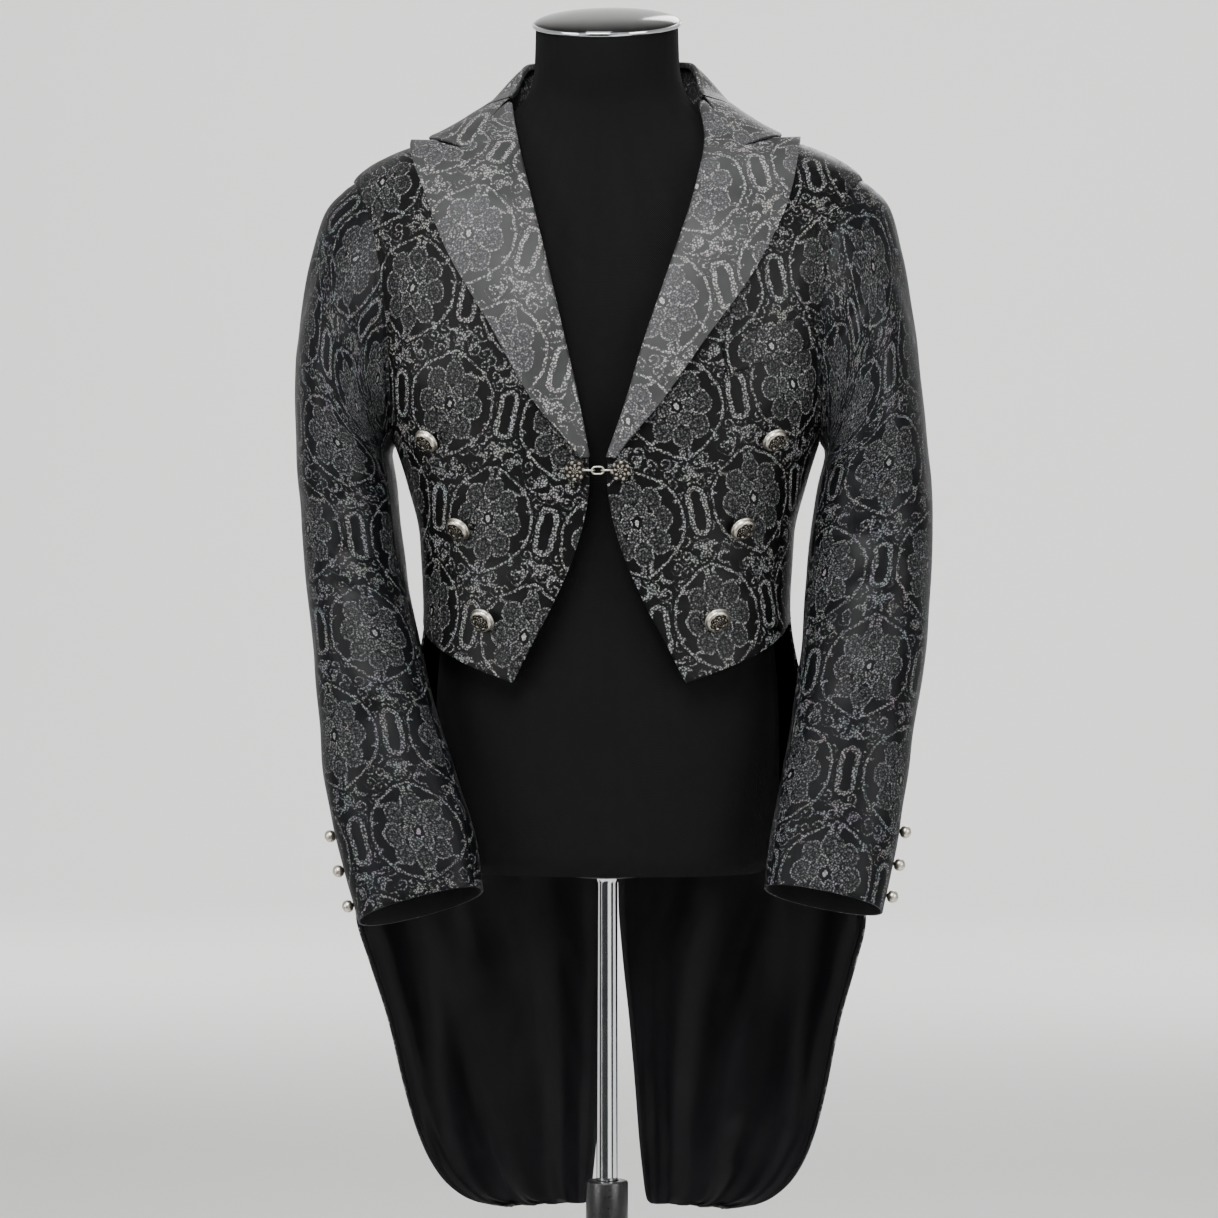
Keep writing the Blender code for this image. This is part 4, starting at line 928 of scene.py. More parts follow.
FRONT_CREASES = {
    1: ((0.205, 1.395, 0.196, 1.285, -0.0026, 0.010), (0.190, 1.360, 0.150, 1.290, 0.0014, 0.016),
        (0.060, 1.128, 0.120, 1.150, -0.0010, 0.014), (0.060, 1.080, 0.130, 1.062, -0.0010, 0.014),
        (0.110, 1.045, 0.150, 1.060, -0.0012, 0.012), (0.130, 1.205, 0.180, 1.230, 0.0012, 0.014)),
    -1: ((0.207, 1.392, 0.197, 1.280, -0.0026, 0.010), (0.185, 1.355, 0.150, 1.280, 0.0014, 0.016),
         (0.065, 1.130, 0.120, 1.152, -0.0010, 0.014), (0.060, 1.085, 0.120, 1.070, -0.0009, 0.014),
         (0.115, 1.050, 0.150, 1.070, -0.0012, 0.012), (0.120, 1.215, 0.170, 1.240, 0.0012, 0.014)),
}
FRONT_FLOWER = {1: (0.066, 1.214), -1: (-0.0965, 1.1133)}
LAPEL_FLOWER = {1: (0.0558, 1.304), -1: (-0.1136, 1.3627)}
SLEEVE_FLOWER = {1: (0.2214, 1.204), -1: (-0.197, 1.0125)}
SLEEVE_CREASES = {
    1: ((0.13, 0.02, 0.06, 0.10, -0.0020, 0.012), (0.05, 0.05, 0.02, 0.16, -0.0016, 0.013),
        (0.14, 0.26, 0.06, 0.30, -0.0022, 0.012), (0.13, 0.33, 0.05, 0.345, -0.0024, 0.012),
        (0.14, 0.39, 0.07, 0.375, -0.0018, 0.012), (0.02, 0.30, 0.08, 0.33, -0.0014, 0.013),
        (0.12, 0.46, 0.06, 0.50, -0.0014, 0.012), (0.03, 0.43, 0.09, 0.46, 0.0012, 0.014)),
    -1: ((0.13, 0.03, 0.06, 0.11, -0.0020, 0.012), (0.05, 0.06, 0.02, 0.17, -0.0016, 0.013),
         (0.14, 0.28, 0.07, 0.31, -0.0022, 0.012), (0.14, 0.35, 0.05, 0.355, -0.0024, 0.012),
         (0.13, 0.41, 0.08, 0.385, -0.0018, 0.012), (0.03, 0.31, 0.08, 0.34, -0.0013, 0.013),
         (0.13, 0.47, 0.07, 0.51, -0.0014, 0.012), (0.04, 0.44, 0.10, 0.48, 0.0012, 0.014)),
}
BACK_CREASES = (
    (0.120, 1.380, 0.190, 1.330, -0.0014, 0.016), (0.030, 1.120, 0.110, 1.100, -0.0012, 0.014),
    (0.040, 1.075, 0.120, 1.065, -0.0010, 0.013), (0.150, 1.200, 0.190, 1.160, -0.0014, 0.014),
)

def front_panel(side, name):
    """A front, ruled from its edge and roll line to the side seam and the armhole."""
    edge, seam = [], []
    for t in spread(46):
        height = between(POINT_HEIGHT, BREAK_HEIGHT, t)
        edge.append((turn_across(FRONT_EDGE.at(height)["across"], height), height))
        seam.append(side_seam(t, -SMOOTH_GAP / 2))
    for part in spread(80)[1:]:
        t = 1 - (1 - part) ** 1.5
        height = between(BREAK_HEIGHT, NECK_HEIGHT, t)
        edge.append((turn_across(LAPEL[side].at(height)["roll"], height), height))
        deep, height = armhole(pi * (1 - t), ARMHOLE_GAP)
        seam.append((turn_deep(deep, height), height))
    edge[-1] = (90 - gap_turn(RIDGE_GAP / 2, 90, NECK_HEIGHT), NECK_HEIGHT)
    top = seam[-1][1]
    seam[-1] = (90 - gap_turn(RIDGE_GAP / 2, 90, top), top)
    rows, plan = ruled(edge, seam, 46, FRONT_CREASES[side], SEAM_DIP)
    return tailored(name, rows, name, side=side, plan=plan, tilt=-12,
                    flower=FRONT_FLOWER[side], flip=side < 0)


def back_panel(side, name):
    """A back, ruled from the side seam, armhole and shoulder to the centre back seam."""
    seam = [side_seam(t, SMOOTH_GAP / 2) for t in spread(34)]
    heights = [place[1] for place in seam]
    armpit = heights[-1]
    for t in spread(56)[1:]:
        deep, height = armhole(pi * (1 + t), ARMHOLE_GAP)
        seam.append((turn_deep(deep, height), height))
        heights.append(between(armpit, SHOULDER_HEIGHT, t))
    seam.pop()
    heights.pop()
    start = armhole(0, ARMHOLE_GAP)[1]
    for t in spread(24):
        height = between(start, NECK_HEIGHT, t)
        seam.append((90 + gap_turn(RIDGE_GAP / 2, 90, height), height))
        heights.append(height)
    middle = [(180 - gap_turn(SMOOTH_GAP / 2, 180, height), height) for height in heights]
    rows, plan = ruled(seam, middle, 44, BACK_CREASES, -SEAM_DIP)
    return tailored(name, rows, name, side=side, plan=plan, flower=(0.0, 1.30),
                    flip=side < 0)


def lapel_panel(side, name):
    """A lapel, whose inner edge rolls over the edge of the front that it grows from."""
    rows, plan = [], []
    for part in spread(96):
        s = 1 - (1 - part) ** 1.3
        row, flat = [], []
        for k in (6, 5, 4, 3, 2, 1):
            angle = radians(CURL_TURN * k / 6)
            across, height = lapel_place(side, s, 0)
            across -= CURL_RADIUS * sin(angle)
            out = LAPEL_STAND - CURL_RADIUS * (1 - cos(angle))
            row.append(coat_point(turn_across(across, height), height, out))
            far, up = flat_place(turn_across(across, height), height)
            flat.append((far - CURL_RADIUS * (angle - sin(angle)), up))
        for t in spread(34):
            across, height = lapel_place(side, s, t)
            turn = turn_across(across, height)
            belly = LAPEL_BELLY * sin(pi * t) * min(1, 4 * s)
            here = coat_point(turn, height)
            push = uneven(here, 0.045, 0.0010) * smooth(min(t, 1 - t) * 8)
            row.append(coat_point(turn, height, LAPEL_STAND + belly + push
                                  + LAPEL_EDGE_LIFT * t ** 3))
            flat.append(flat_place(turn, height))
        rows.append(row)
        plan.append(flat)
    return tailored(name, rows, name, held="folded", rests_on="front_" + name.split("_")[1],
                    material=LAPEL_CLOTH, side=side, plan=plan, tilt=-15,
                    flower=LAPEL_FLOWER[side], flip=side < 0)


def fall_row(station, columns):
    """The collar's fall at a station: rolled over the stand, then bowed out to its edge."""
    row = COLLAR.at(station)
    fold = fold_point(station)
    edge = coat_point(row["edge_turn"], row["edge_height"], LAPEL_STAND)
    rise = coat_point(row["edge_turn"], row["edge_height"], LAPEL_STAND + 0.001) - edge
    rise.normalize()
    bow = (fold + edge) / 2 + rise * COLLAR_BELLY + Vector((0, 0, row["fold_lift"] / 4))
    fold, edge, bow = fold + rise * 0.0012, edge + rise * 0.0012, bow + rise * 0.0012
    over = smooth(row["fold_lift"] / 0.012)
    inward = Vector((-fold.x, -fold.y, 0)).normalized()
    if over <= 0:
        inward = (fold - bow).normalized()
    inward = inward.lerp((fold - bow).normalized(), 1 - over)
    found = []
    for k in (6, 5, 4, 3, 2, 1):
        angle = radians(30 * k)
        reach = between(0.0003 * k, 0.0027 * (1 - cos(angle)), over)
        drop = sin(angle) * 0.0016 * over - (0.004 * over if k == 6 else 0)
        found.append(fold + inward * reach + Vector((0, 0, drop)))
    for t in spread(columns):
        point = fold * (1 - t) ** 2 + bow * 2 * t * (1 - t) + edge * t * t
        found.append(point + rise * uneven(point, 0.04, 0.0008) * smooth(t * 4))
    return found


def stand_row(station, columns):
    """The collar's stand, from the neck seam up to just under the fold."""
    foot = coat_point(COLLAR.at(station)["fold_turn"], NECK_HEIGHT + SMOOTH_GAP)
    top = fold_point(station) - Vector((0, 0, STAND_DROP))
    return [between(foot, top, t) for t in spread(columns)]


def both_sides(row_at, first, count, columns):
    """Rows from centre back round to the left, and their mirror images before them."""
    left = [row_at(between(COLLAR_END, first, t), columns) for t in spread(count)]
    right = [[Vector((-p.x, p.y, p.z)) for p in row] for row in left[1:]]
    return right[::-1] + left


def sleeve_panels(side, word):
    """A sleeve's upper and under panels, from their seam allowance at the head to the cuff."""
    upper, under = [], []
    fore_gap = seam_gap(side, 0, FORE_SEAM)
    hind_gap = seam_gap(side, 0, HIND_SEAM[0])
    for grow, depth in HEAD_ALLOWANCE:
        for found, part, first, last in (
                (upper, "upper", FORE_SEAM - fore_gap, HIND_SEAM[0] + hind_gap),
                (under, "under", HIND_SEAM[0] + 360 - hind_gap, FORE_SEAM + fore_gap)):
            row = []
            for t in spread(SLEEVE_COLUMNS[part]):
                deep, height = armhole(radians(between(first, last, t)), grow)
                row.append(coat_point(turn_deep(deep, height), height, -depth))
            found.append(row)
    for station in [SLEEVE_END * t for t in spread(132)]:
        hind = hind_angle(station)
        fore_gap, hind_gap = seam_gap(side, station, FORE_SEAM), seam_gap(side, station, hind)
        for found, part, first, last in (
                (upper, "upper", FORE_SEAM - fore_gap, hind + hind_gap),
                (under, "under", hind + 360 - hind_gap, FORE_SEAM + fore_gap)):
            row = []
            for t in spread(SLEEVE_COLUMNS[part]):
                angle = between(first, last, t)
                here = sleeve_point(side, station, angle)
                quiet = smooth(min(t, 1 - t) * 14) * smooth((SLEEVE_END - station) * 2)
                along, down = radians(angle) * 0.06, station * 0.053
                push = crease(SLEEVE_CREASES[side], along, down) if found is upper else 0.0
                push = (push + uneven(here, 0.05, 0.0014)) * quiet * smooth(station / 0.4)
                push -= 0.0016 * FALL ** -((station / 0.13) ** 2)   # the head's seam
                if push:
                    round_it = sleeve_point(side, station, angle + 1) - here
                    lower = sleeve_point(side, min(station + 0.05, SLEEVE_END), angle)
                    if station > SLEEVE_END - 0.1:
                        lower = 2 * here - sleeve_point(side, station - 0.05, angle)
                    normal = round_it.cross(lower - here)
                    if normal.length > 1e-12:
                        normal.normalize()
                        middle = sleeve_point(side, station, 0) + sleeve_point(side, station, 180)
                        if normal.dot(here - middle / 2) < 0:
                            normal = -normal
                        here += normal * push
                row.append(here)
            found.append(row)
    for found, part in ((upper, "upper"), (under, "under")):
        name = f"{part}_sleeve_{word}"
        tailored(name, found, name, side=side, flower=SLEEVE_FLOWER[side], flip=side > 0,
                 down=True, material=SLEEVE_CLOTH)


def tail_panels(side, word):
    """A tail and the satin that lines it, from the waist seam to the hem."""
    rows, plan, lining = [], [], []
    for t in spread(120):
        height = between(WAIST_HEIGHT - 0.0006, HEM_HEIGHT, 1 - (1 - t) ** 1.25)
        row, flat, inner = [], [], []
        data = TAIL.at(height)
        vent = 180 - turn_across(data["vent"], height)
        edge = 180 - turn_across(min(data["edge"], COAT.at(height)["half"]), height)
        for part in spread(48):
            quiet = smooth(min(part, 1 - part) * 10) * smooth(t * 8)
            here = tail_point(part, height)
            push = uneven(here, 0.07, 0.0022) * quiet
            row.append(tail_point(part, height, push))
            flat.append(flat_place(between(vent, edge, part), height))
            set_in = between(LINING_INSET, 1 - LINING_INSET, part)
            base = tail_point(set_in, height)
            wave = 0.5 + 0.5 * sin(set_in * 24 + 2.2 * noise.noise(Vector((set_in * 3, 0, t * 2))))
            fold = (LINING_FOLD * wave * quiet * smooth(t * 3)
                    + abs(uneven(base, 0.05, 0.0012)) * quiet)
            pushed = uneven(base, 0.07, 0.0022) * quiet
            out = -(WALL + LINING_GAP) - fold + min(pushed, 0)
            inner.append(tail_point(set_in, height, out))
        rows.append(row)
        plan.append(flat)
        lining.append(inner)
    tailored("tail_" + word, rows, "tail_" + word, side=side, plan=plan, flower=(0.0, 0.93),
             flip=side < 0)
    tailored("tail_lining_" + word, lining, "tail_lining_" + word, slot="satin",
             material=LINING, back=LINING, rests_on="tail_" + word, side=side,
             wall=LINING_WALL, flip=side < 0)


# Hard pieces

def face_map(thing, radius):
    """Writes the casting's own plane, in shares of its radius, to its map "Face"."""
    mesh = thing.data
    layer = fresh_map(mesh, "Face")
    for loop in mesh.loops:
        point = mesh.vertices[loop.vertex_index].co
        layer.data[loop.index].uv = (point.x / radius, point.y / radius)


def spun(name, profile, steps=48, hollow=False, smooth_angle=35):
    """A piece grown up from a circle, ring by ring, through radii and heights."""
    clear_choice()
    radius, height = profile[0]
    bpy.ops.mesh.primitive_circle_add(
        vertices=steps, radius=radius, fill_type="NOTHING" if hollow else "NGON",
        location=(0, 0, height))
    thing = begin(name)
    bpy.ops.object.mode_set(mode="EDIT")
    bpy.ops.mesh.select_all(action="SELECT")
    for (before, low), (radius, height) in zip(profile, profile[1:]):
        bpy.ops.mesh.extrude_region_move(
            TRANSFORM_OT_translate={"value": (0, 0, height - low)})
        scale = radius / before
        bpy.ops.transform.resize(value=(scale, scale, 1), center_override=(0, 0, height))
    if hollow:
        bpy.ops.mesh.select_all(action="DESELECT")
        bpy.ops.mesh.select_non_manifold()
        bpy.ops.mesh.bridge_edge_loops()
    elif profile[-1][0] < 0.0002:
        bpy.ops.mesh.merge(type="CENTER")
    leave_editing()
    bpy.ops.object.shade_smooth_by_angle(angle=radians(smooth_angle))
    clear_choice()
    return thing


def facing(point, direction):
    """A matrix that puts Z along a direction at a point."""
    return Matrix.Translation(point) @ direction.to_track_quat("Z", "Y").to_matrix().to_4x4()


# Outlines of the buttons, in shares of their radius and height, from the foot up: a tall
# rounded rim with a fine step round a sunk carved face, on a thread shank, and a ball.
FRONT_BUTTON_OUTLINE = (
    (0.05, 0.03), (0.16, 0.10), (0.16, 0.40), (0.60, 0.43), (0.86, 0.47), (0.96, 0.52),
    (1, 0.58), (0.995, 0.62), (0.97, 0.66), (0.945, 0.67), (0.94, 0.70), (0.93, 0.76),
    (0.90, 0.83), (0.85, 0.88), (0.78, 0.92), (0.70, 0.94), (0.64, 0.94), (0.60, 0.92),
    (0.58, 0.87), (0.55, 0.86), (0.50, 0.88), (0.40, 0.92), (0.33, 0.92), (0.20, 0.98),
    (0.0001, 1),
)
CUFF_BUTTON_OUTLINE = (
    (0.22, 0), (0.40, 0.07), (0.60, 0.12), (0.76, 0.18), (0.87, 0.26), (0.95, 0.36), (1, 0.49),
    (0.98, 0.60), (0.93, 0.69), (0.83, 0.79), (0.68, 0.875), (0.52, 0.93), (0.34, 0.97),
    (0.16, 0.995), (0.0001, 1),
)


def button(name, outline, radius, high, carved, place):
    """A cast button, carved out to a share of its radius."""
    thing = spun(name, [(across * radius, up * high) for across, up in outline], 44,
                 smooth_angle=60)
    face_map(thing, radius * carved / CARVED_SHARE)
    thing.data.transform(place)
    return finish_piece(thing, SILVER, CLOTH_BODY, name, slot="silver")


def front_button_places(side, word):
    """Where the front buttons droop on their threads."""
    for number, (across, height) in enumerate(FRONT_BUTTONS, 1):
        turn = turn_across(across, height)
        seat = coat_point(turn, height, BUTTON_LIFT)
        rise = straight_out(turn, height)
        rise += Vector((BUTTON_SPLAY, 0, -BUTTON_DROOP))
        seat.x, rise.x = side * seat.x, side * rise.x
        yield f"front_button_{word}_{number}", facing(seat, rise)


def cuff_button_places(side, word):
    """Where the cuff buttons sit beside the hind seam."""
    for number, station in enumerate(CUFF_BUTTONS, 1):
        angle = hind_angle(station) + CUFF_BUTTON_TURN
        here = sleeve_point(side, station, angle)
        round_it = sleeve_point(side, station, angle + 0.5) - here
        up = sleeve_point(side, station - 0.02, angle) - here
        rise = up.cross(round_it).normalized()
        seat = here + rise * CUFF_BUTTON_LIFT
        seat.x, rise.x = side * seat.x, side * rise.x
        yield f"cuff_button_{word}_{number}", facing(seat, rise)


def choose_faces(thing, way):
    """In edit mode, chooses the faces that look up, or down when the way is -1."""
    made = bmesh.from_edit_mesh(thing.data)
    for face in made.faces:
        face.select_set(face.normal.z * way > 0.9)
    bmesh.update_edit_mesh(thing.data)


def ornament(side, name):
    """A lobed cast rosette on a short shank, drawn out of a disc."""
    radius, low = ORNAMENT_RADIUS, -ORNAMENT_LIFT + BUTTON_LIFT
    clear_choice()
    bpy.ops.mesh.primitive_cylinder_add(vertices=48, radius=radius,
                                        depth=ORNAMENT_THICK)
    thing = bpy.context.object
    thing.name = thing.data.name = name
    bpy.ops.object.mode_set(mode="EDIT")
    bpy.ops.mesh.select_mode(type="FACE")
    choose_faces(thing, 1)
    for inset, lift in ((0.0007, 0.0004), (0.0012, 0.0002), (0.0011, -0.0005), (0.0016, 0.0006),
                        (0.0013, -0.0004), (0.0011, 0.0008), (0.0010, 0.0002)):
        bpy.ops.mesh.inset(thickness=inset, depth=0)
        bpy.ops.transform.translate(value=(0, 0, lift))
    choose_faces(thing, -1)
    bpy.ops.mesh.inset(thickness=radius - ORNAMENT_SHANK, depth=0)
    bpy.ops.mesh.extrude_region_move(
        TRANSFORM_OT_translate={"value": (0, 0, low + ORNAMENT_THICK / 2)})
    leave_editing()
    for vertex in thing.data.vertices:
        reach = (vertex.co.x ** 2 + vertex.co.y ** 2) ** 0.5
        if reach > 0.0032 and vertex.co.z > -0.0016:
            angle = atan2(vertex.co.y, vertex.co.x)
            deep = (LOBE_DEPTH * (1 - cos(ORNAMENT_LOBES * angle)) / 2
                    * smooth((reach - 0.003) / 0.005))
            vertex.co.x *= 1 - deep
            vertex.co.y *= 1 - deep
    face_map(thing, radius * 3.2)   # all of its face is carved
    bpy.context.view_layer.objects.active = thing
    thing.select_set(True)
    bpy.ops.object.shade_smooth_by_angle(angle=radians(50))
    turn = turn_across(ORNAMENT_ACROSS, CLASP_HEIGHT)
    seat = coat_point(turn, CLASP_HEIGHT, ORNAMENT_LIFT)
    rise = straight_out(turn, CLASP_HEIGHT)
    across = (Vector((1, 0, 0)) - rise * rise.x).normalized()
    up = rise.cross(across)
    place = Matrix((across, up, rise)).transposed().to_4x4()
    place.translation = seat
    if side < 0:
        place = Matrix.Scale(-1, 4, (1, 0, 0)) @ place @ Matrix.Scale(-1, 4, (0, 1, 0))
    thing.data.transform(place)
    return finish_piece(thing, SILVER, CLOTH_BODY, name, slot="silver")


def chain_link(number):
    """An oval link of round wire, drawn out of a torus."""
    upright = number == 2
    clear_choice()
    bpy.ops.mesh.primitive_torus_add(
        major_segments=28, minor_segments=10, major_radius=LINK_WIDTH / 2,
        minor_radius=LINK_WIRE, rotation=(pi / 2 if upright else 0, 0, 0))
    name = f"chain_link_{number}"
    thing = begin(name)
    straight = (LINK_LENGTH - LINK_WIDTH) / 2
    for side in (1, -1):
        bpy.ops.object.mode_set(mode="EDIT")
        bpy.ops.mesh.select_mode(type="VERT")
        bpy.ops.mesh.select_all(action="DESELECT")
        loop = bmesh.from_edit_mesh(thing.data)
        for vertex in loop.verts:
            vertex.select_set(vertex.co.x * side > 0.0003)
        loop.select_flush(True)
        bmesh.update_edit_mesh(thing.data)
        bpy.ops.transform.translate(value=(side * straight, 0, 0))
        bpy.ops.object.mode_set(mode="OBJECT")
    bpy.ops.object.shade_smooth_by_angle(angle=radians(60))
    face_map(thing, 0.001)
    depth = coat_point(turn_across(ORNAMENT_ACROSS, CLASP_HEIGHT), CLASP_HEIGHT,
                       ORNAMENT_LIFT).y
    thing.data.transform(Matrix.Translation(((number - 2) * LINK_PITCH, depth, CLASP_HEIGHT)))
    return finish_piece(thing, SILVER, CLOTH_BODY, name, slot="silver")


def form_point(height, angle):
    """A point of the dress form at an angle in radians from -Y towards +X."""
    ring = FORM.at(height)
    across, deep = ring_point(ring, angle)
    return Vector((across, deep, height + ring["lean"] * deep))


# The add-on

def colour_choice(name, value, description):
    """A colour that a user may change, from its sRGB hex value."""
    return FloatVectorProperty(name=name, subtype="COLOR", size=4, min=0, max=1,
                               default=hex_colour(value), description=description)


class TailcoatSizes(bpy.types.PropertyGroup):
    """Sizes of the pattern and of the cloth's finish that a user may change."""

    repeat_wide: FloatProperty(name="Repeat across", default=110.0, min=20, max=400,
                               description="Width of the brocade's repeat, in millimetres")
    repeat_high: FloatProperty(name="Repeat along", default=190.0, min=20, max=600,
                               description="Height of the brocade's repeat, in millimetres")
    satin_gloss: FloatProperty(name="Ground roughness", default=0.40, min=0.1, max=1,
                               subtype="FACTOR", description="Roughness of the satin ground")
    key_power: FloatProperty(name="Key light", default=150.0, min=0, unit="POWER",
                             description="Power of the large soft light over the front")


class TailcoatColours(bpy.types.PropertyGroup):
    """Colours of the cloths and of the silver."""

    ground: colour_choice("Ground", "09090a", "Satin ground of the fronts, backs and tails")
    # The lapels' lighter ground, and their paler cords and flowers below, are painted light.
    lapel_lit_ground: colour_choice("Lapel ground", "353636", "Satin ground of the lapels and collar")
    thread: colour_choice("Cords", "7f807f", "Pale silver cords of the scrolls and rings")
    # The sleeves' darker cords are painted shade, and their faintly bluer ground is painted sheen.
    sleeve_ground: colour_choice("Sleeve ground", "0b0c0e", "Satin ground of the sleeves")
    sleeve_shaded_thread: colour_choice("Sleeve cords", "626365", "Cords of the sleeves, darkened as painted shade")
    bloom: colour_choice("Flowers", "58595a", "Duller cords of the flowers")
    # Paler than the front's, as painted light.
    lapel_lit_thread: colour_choice("Lapel cords", "989696", "Pale cords of the lapels and collar")
    lapel_lit_bloom: colour_choice("Lapel flowers", "6f6d73", "Duller cords of the lapels' flowers")
    lining: colour_choice("Lining", "070508", "Satin lining of the tails")
    silver: colour_choice("Silver", "d8d2c4", "Rubbed silver of the buttons and clasp")
    tarnish: colour_choice("Tarnish", "2b2825", "Tarnish in the hollows of the silver")


class TAILCOAT_OT_finishes(bpy.types.Operator):
    """Make the cloths, metals and lacquer"""

    bl_idname = "tailcoat.finishes"
    bl_label = "Finishes"

    def execute(self, context):
        sizes, colours = context.scene.tailcoat_sizes, context.scene.tailcoat_colours
        # Worn silk brocade. The lapels and collar get a copy with a lighter ground and paler cords,
        # painted light for the light that they catch, with a softer gleam; the sleeves get a copy
        # with darker cords, painted shade, and a faintly bluer ground, painted sheen.
        for name, ground, thread, bloom, softer, shine in (
                (FRONT_CLOTH, colours.ground, colours.thread, colours.bloom, 0.0, 0.12),
                (LAPEL_CLOTH, colours.lapel_lit_ground, colours.lapel_lit_thread,
                 colours.lapel_lit_bloom, 0.1, 0.18),
                (SLEEVE_CLOTH, colours.sleeve_ground, colours.sleeve_shaded_thread, colours.bloom,
                 0.0, 0.10)):
            brocade(name, tuple(ground), tuple(thread), tuple(bloom), sizes.repeat_wide,
                    sizes.repeat_high, sizes.satin_gloss + softer, shine)
        # The reverse of a brocade shows its loose floats, dull and dark.
        plain_cloth(REVERSE, hex_colour("161618"), 0.8, 1.2, 0.0003, 0.2, 0.2)
        # Acetate satin: long floats that gleam in soft upright streaks.
        plain_cloth(LINING, tuple(colours.lining), 0.34, 1.0, 0.00006, 0.3, 0.14)
        # Knitted cotton, dull, stretched over the form.
        plain_cloth(JERSEY, hex_colour("0a0a0b"), 0.85, 1.3, 0.0003, 0.12, 0.12)
        # Sprayed lacquer on a turned wooden cap, polished.
        hard_finish(LACQUER, hex_colour("0b0b0c"), 0.0, 0.10, 30, 0.1, 0.00002)
        # Bright chrome plate over drawn steel tube, faintly brushed by use.
        hard_finish(CHROME, hex_colour("d6d8db"), 1.0, 0.09, 60, 0.06, 0.00001)
        # Powder coat, slightly orange-peeled.
        hard_finish(POWDER, hex_colour("121213"), 0.0, 0.32, 400, 0.15, 0.00008)
        cast_silver(SILVER, tuple(colours.silver), tuple(colours.tarnish))
        return {"FINISHED"}


class TAILCOAT_OT_fronts(bpy.types.Operator):
    """Cut and hang the two fronts"""

    bl_idname = "tailcoat.fronts"
    bl_label = "Fronts"

    def execute(self, context):
        front_panel(1, "front_left")
        front_panel(-1, "front_right")
        return {"FINISHED"}


class TAILCOAT_OT_backs(bpy.types.Operator):
    """Cut and hang the two backs"""

    bl_idname = "tailcoat.backs"
    bl_label = "Backs"

    def execute(self, context):
        back_panel(1, "back_left")
        back_panel(-1, "back_right")
        return {"FINISHED"}


class TAILCOAT_OT_lapels(bpy.types.Operator):
    """Roll the two peak lapels over the fronts"""

    bl_idname = "tailcoat.lapels"
    bl_label = "Lapels"

    def execute(self, context):
        lapel_panel(1, "lapel_left")
        lapel_panel(-1, "lapel_right")
        return {"FINISHED"}


class TAILCOAT_OT_collar(bpy.types.Operator):
    """Fold the collar over its stand"""

    bl_idname = "tailcoat.collar"
    bl_label = "Collar"

    def execute(self, context):
        tailored("collar_fall", both_sides(fall_row, 0, 96, 18), "collar_fall", held="folded",
                 rests_on="collar_stand", material=LAPEL_CLOTH, flower=(0.062, 1.53), flip=True,
                 even=False)
        tailored("collar_stand", both_sides(stand_row, STAND_START, 48, 6), "collar_stand",
                 rests_on="back_left", material=LAPEL_CLOTH, flip=True)
        return {"FINISHED"}


class TAILCOAT_OT_welt(bpy.types.Operator):
    """Sew the breast pocket's welt to the left front"""

    bl_idname = "tailcoat.welt"
    bl_label = "Breast welt"

    def execute(self, context):
        low_in, low_out, high_in, high_out = WELT
        rows, plan = [], []
        for s in spread(10):
            row, flat = [], []
            for t in spread(30):
                across, height = [
                    between(between(low_in[k], low_out[k], t),
                            between(high_in[k], high_out[k], t), s)
                    for k in (0, 1)
                ]
                turn = turn_across(across, height)
                row.append(coat_point(turn, height, WELT_STAND))
                flat.append(flat_place(turn, height))
            rows.append(row)
            plan.append(flat)
        tailored("breast_welt", rows, "breast_welt", held="laid", rests_on="front_left",
                 plan=plan, wall=WELT_WALL, tilt=-12, flower=(0.150, 1.2650))
        return {"FINISHED"}


class TAILCOAT_OT_sleeves(bpy.types.Operator):
    """Cut and hang the upper and under sleeves"""

    bl_idname = "tailcoat.sleeves"
    bl_label = "Sleeves"

    def execute(self, context):
        sleeve_panels(1, "left")
        sleeve_panels(-1, "right")
        return {"FINISHED"}


class TAILCOAT_OT_tails(bpy.types.Operator):
    """Hang the tails and their satin linings"""

    bl_idname = "tailcoat.tails"
    bl_label = "Tails and linings"

    def execute(self, context):
        tail_panels(1, "left")
        tail_panels(-1, "right")
        return {"FINISHED"}


class TAILCOAT_OT_buttons(bpy.types.Operator):
    """Cast the six front buttons and the six cuff buttons"""

    bl_idname = "tailcoat.buttons"
    bl_label = "Buttons"

    def execute(self, context):
        for side, word in ((1, "left"), (-1, "right")):
            for name, place in front_button_places(side, word):
                button(name, FRONT_BUTTON_OUTLINE, FRONT_BUTTON_RADIUS, FRONT_BUTTON_HEIGHT,
                       FRONT_BUTTON_CARVED, place)
            for name, place in cuff_button_places(side, word):
                button(name, CUFF_BUTTON_OUTLINE, CUFF_BUTTON_RADIUS, CUFF_BUTTON_HEIGHT,
                       CUFF_BUTTON_CARVED, place)
        return {"FINISHED"}


class TAILCOAT_OT_clasp(bpy.types.Operator):
    """Cast the clasp's two ornaments and link them with its chain"""

    bl_idname = "tailcoat.clasp"
    bl_label = "Chain clasp"

    def execute(self, context):
        ornament(1, "clasp_ornament_left")
        ornament(-1, "clasp_ornament_right")
        for number in (1, 2, 3):
            chain_link(number)
        return {"FINISHED"}


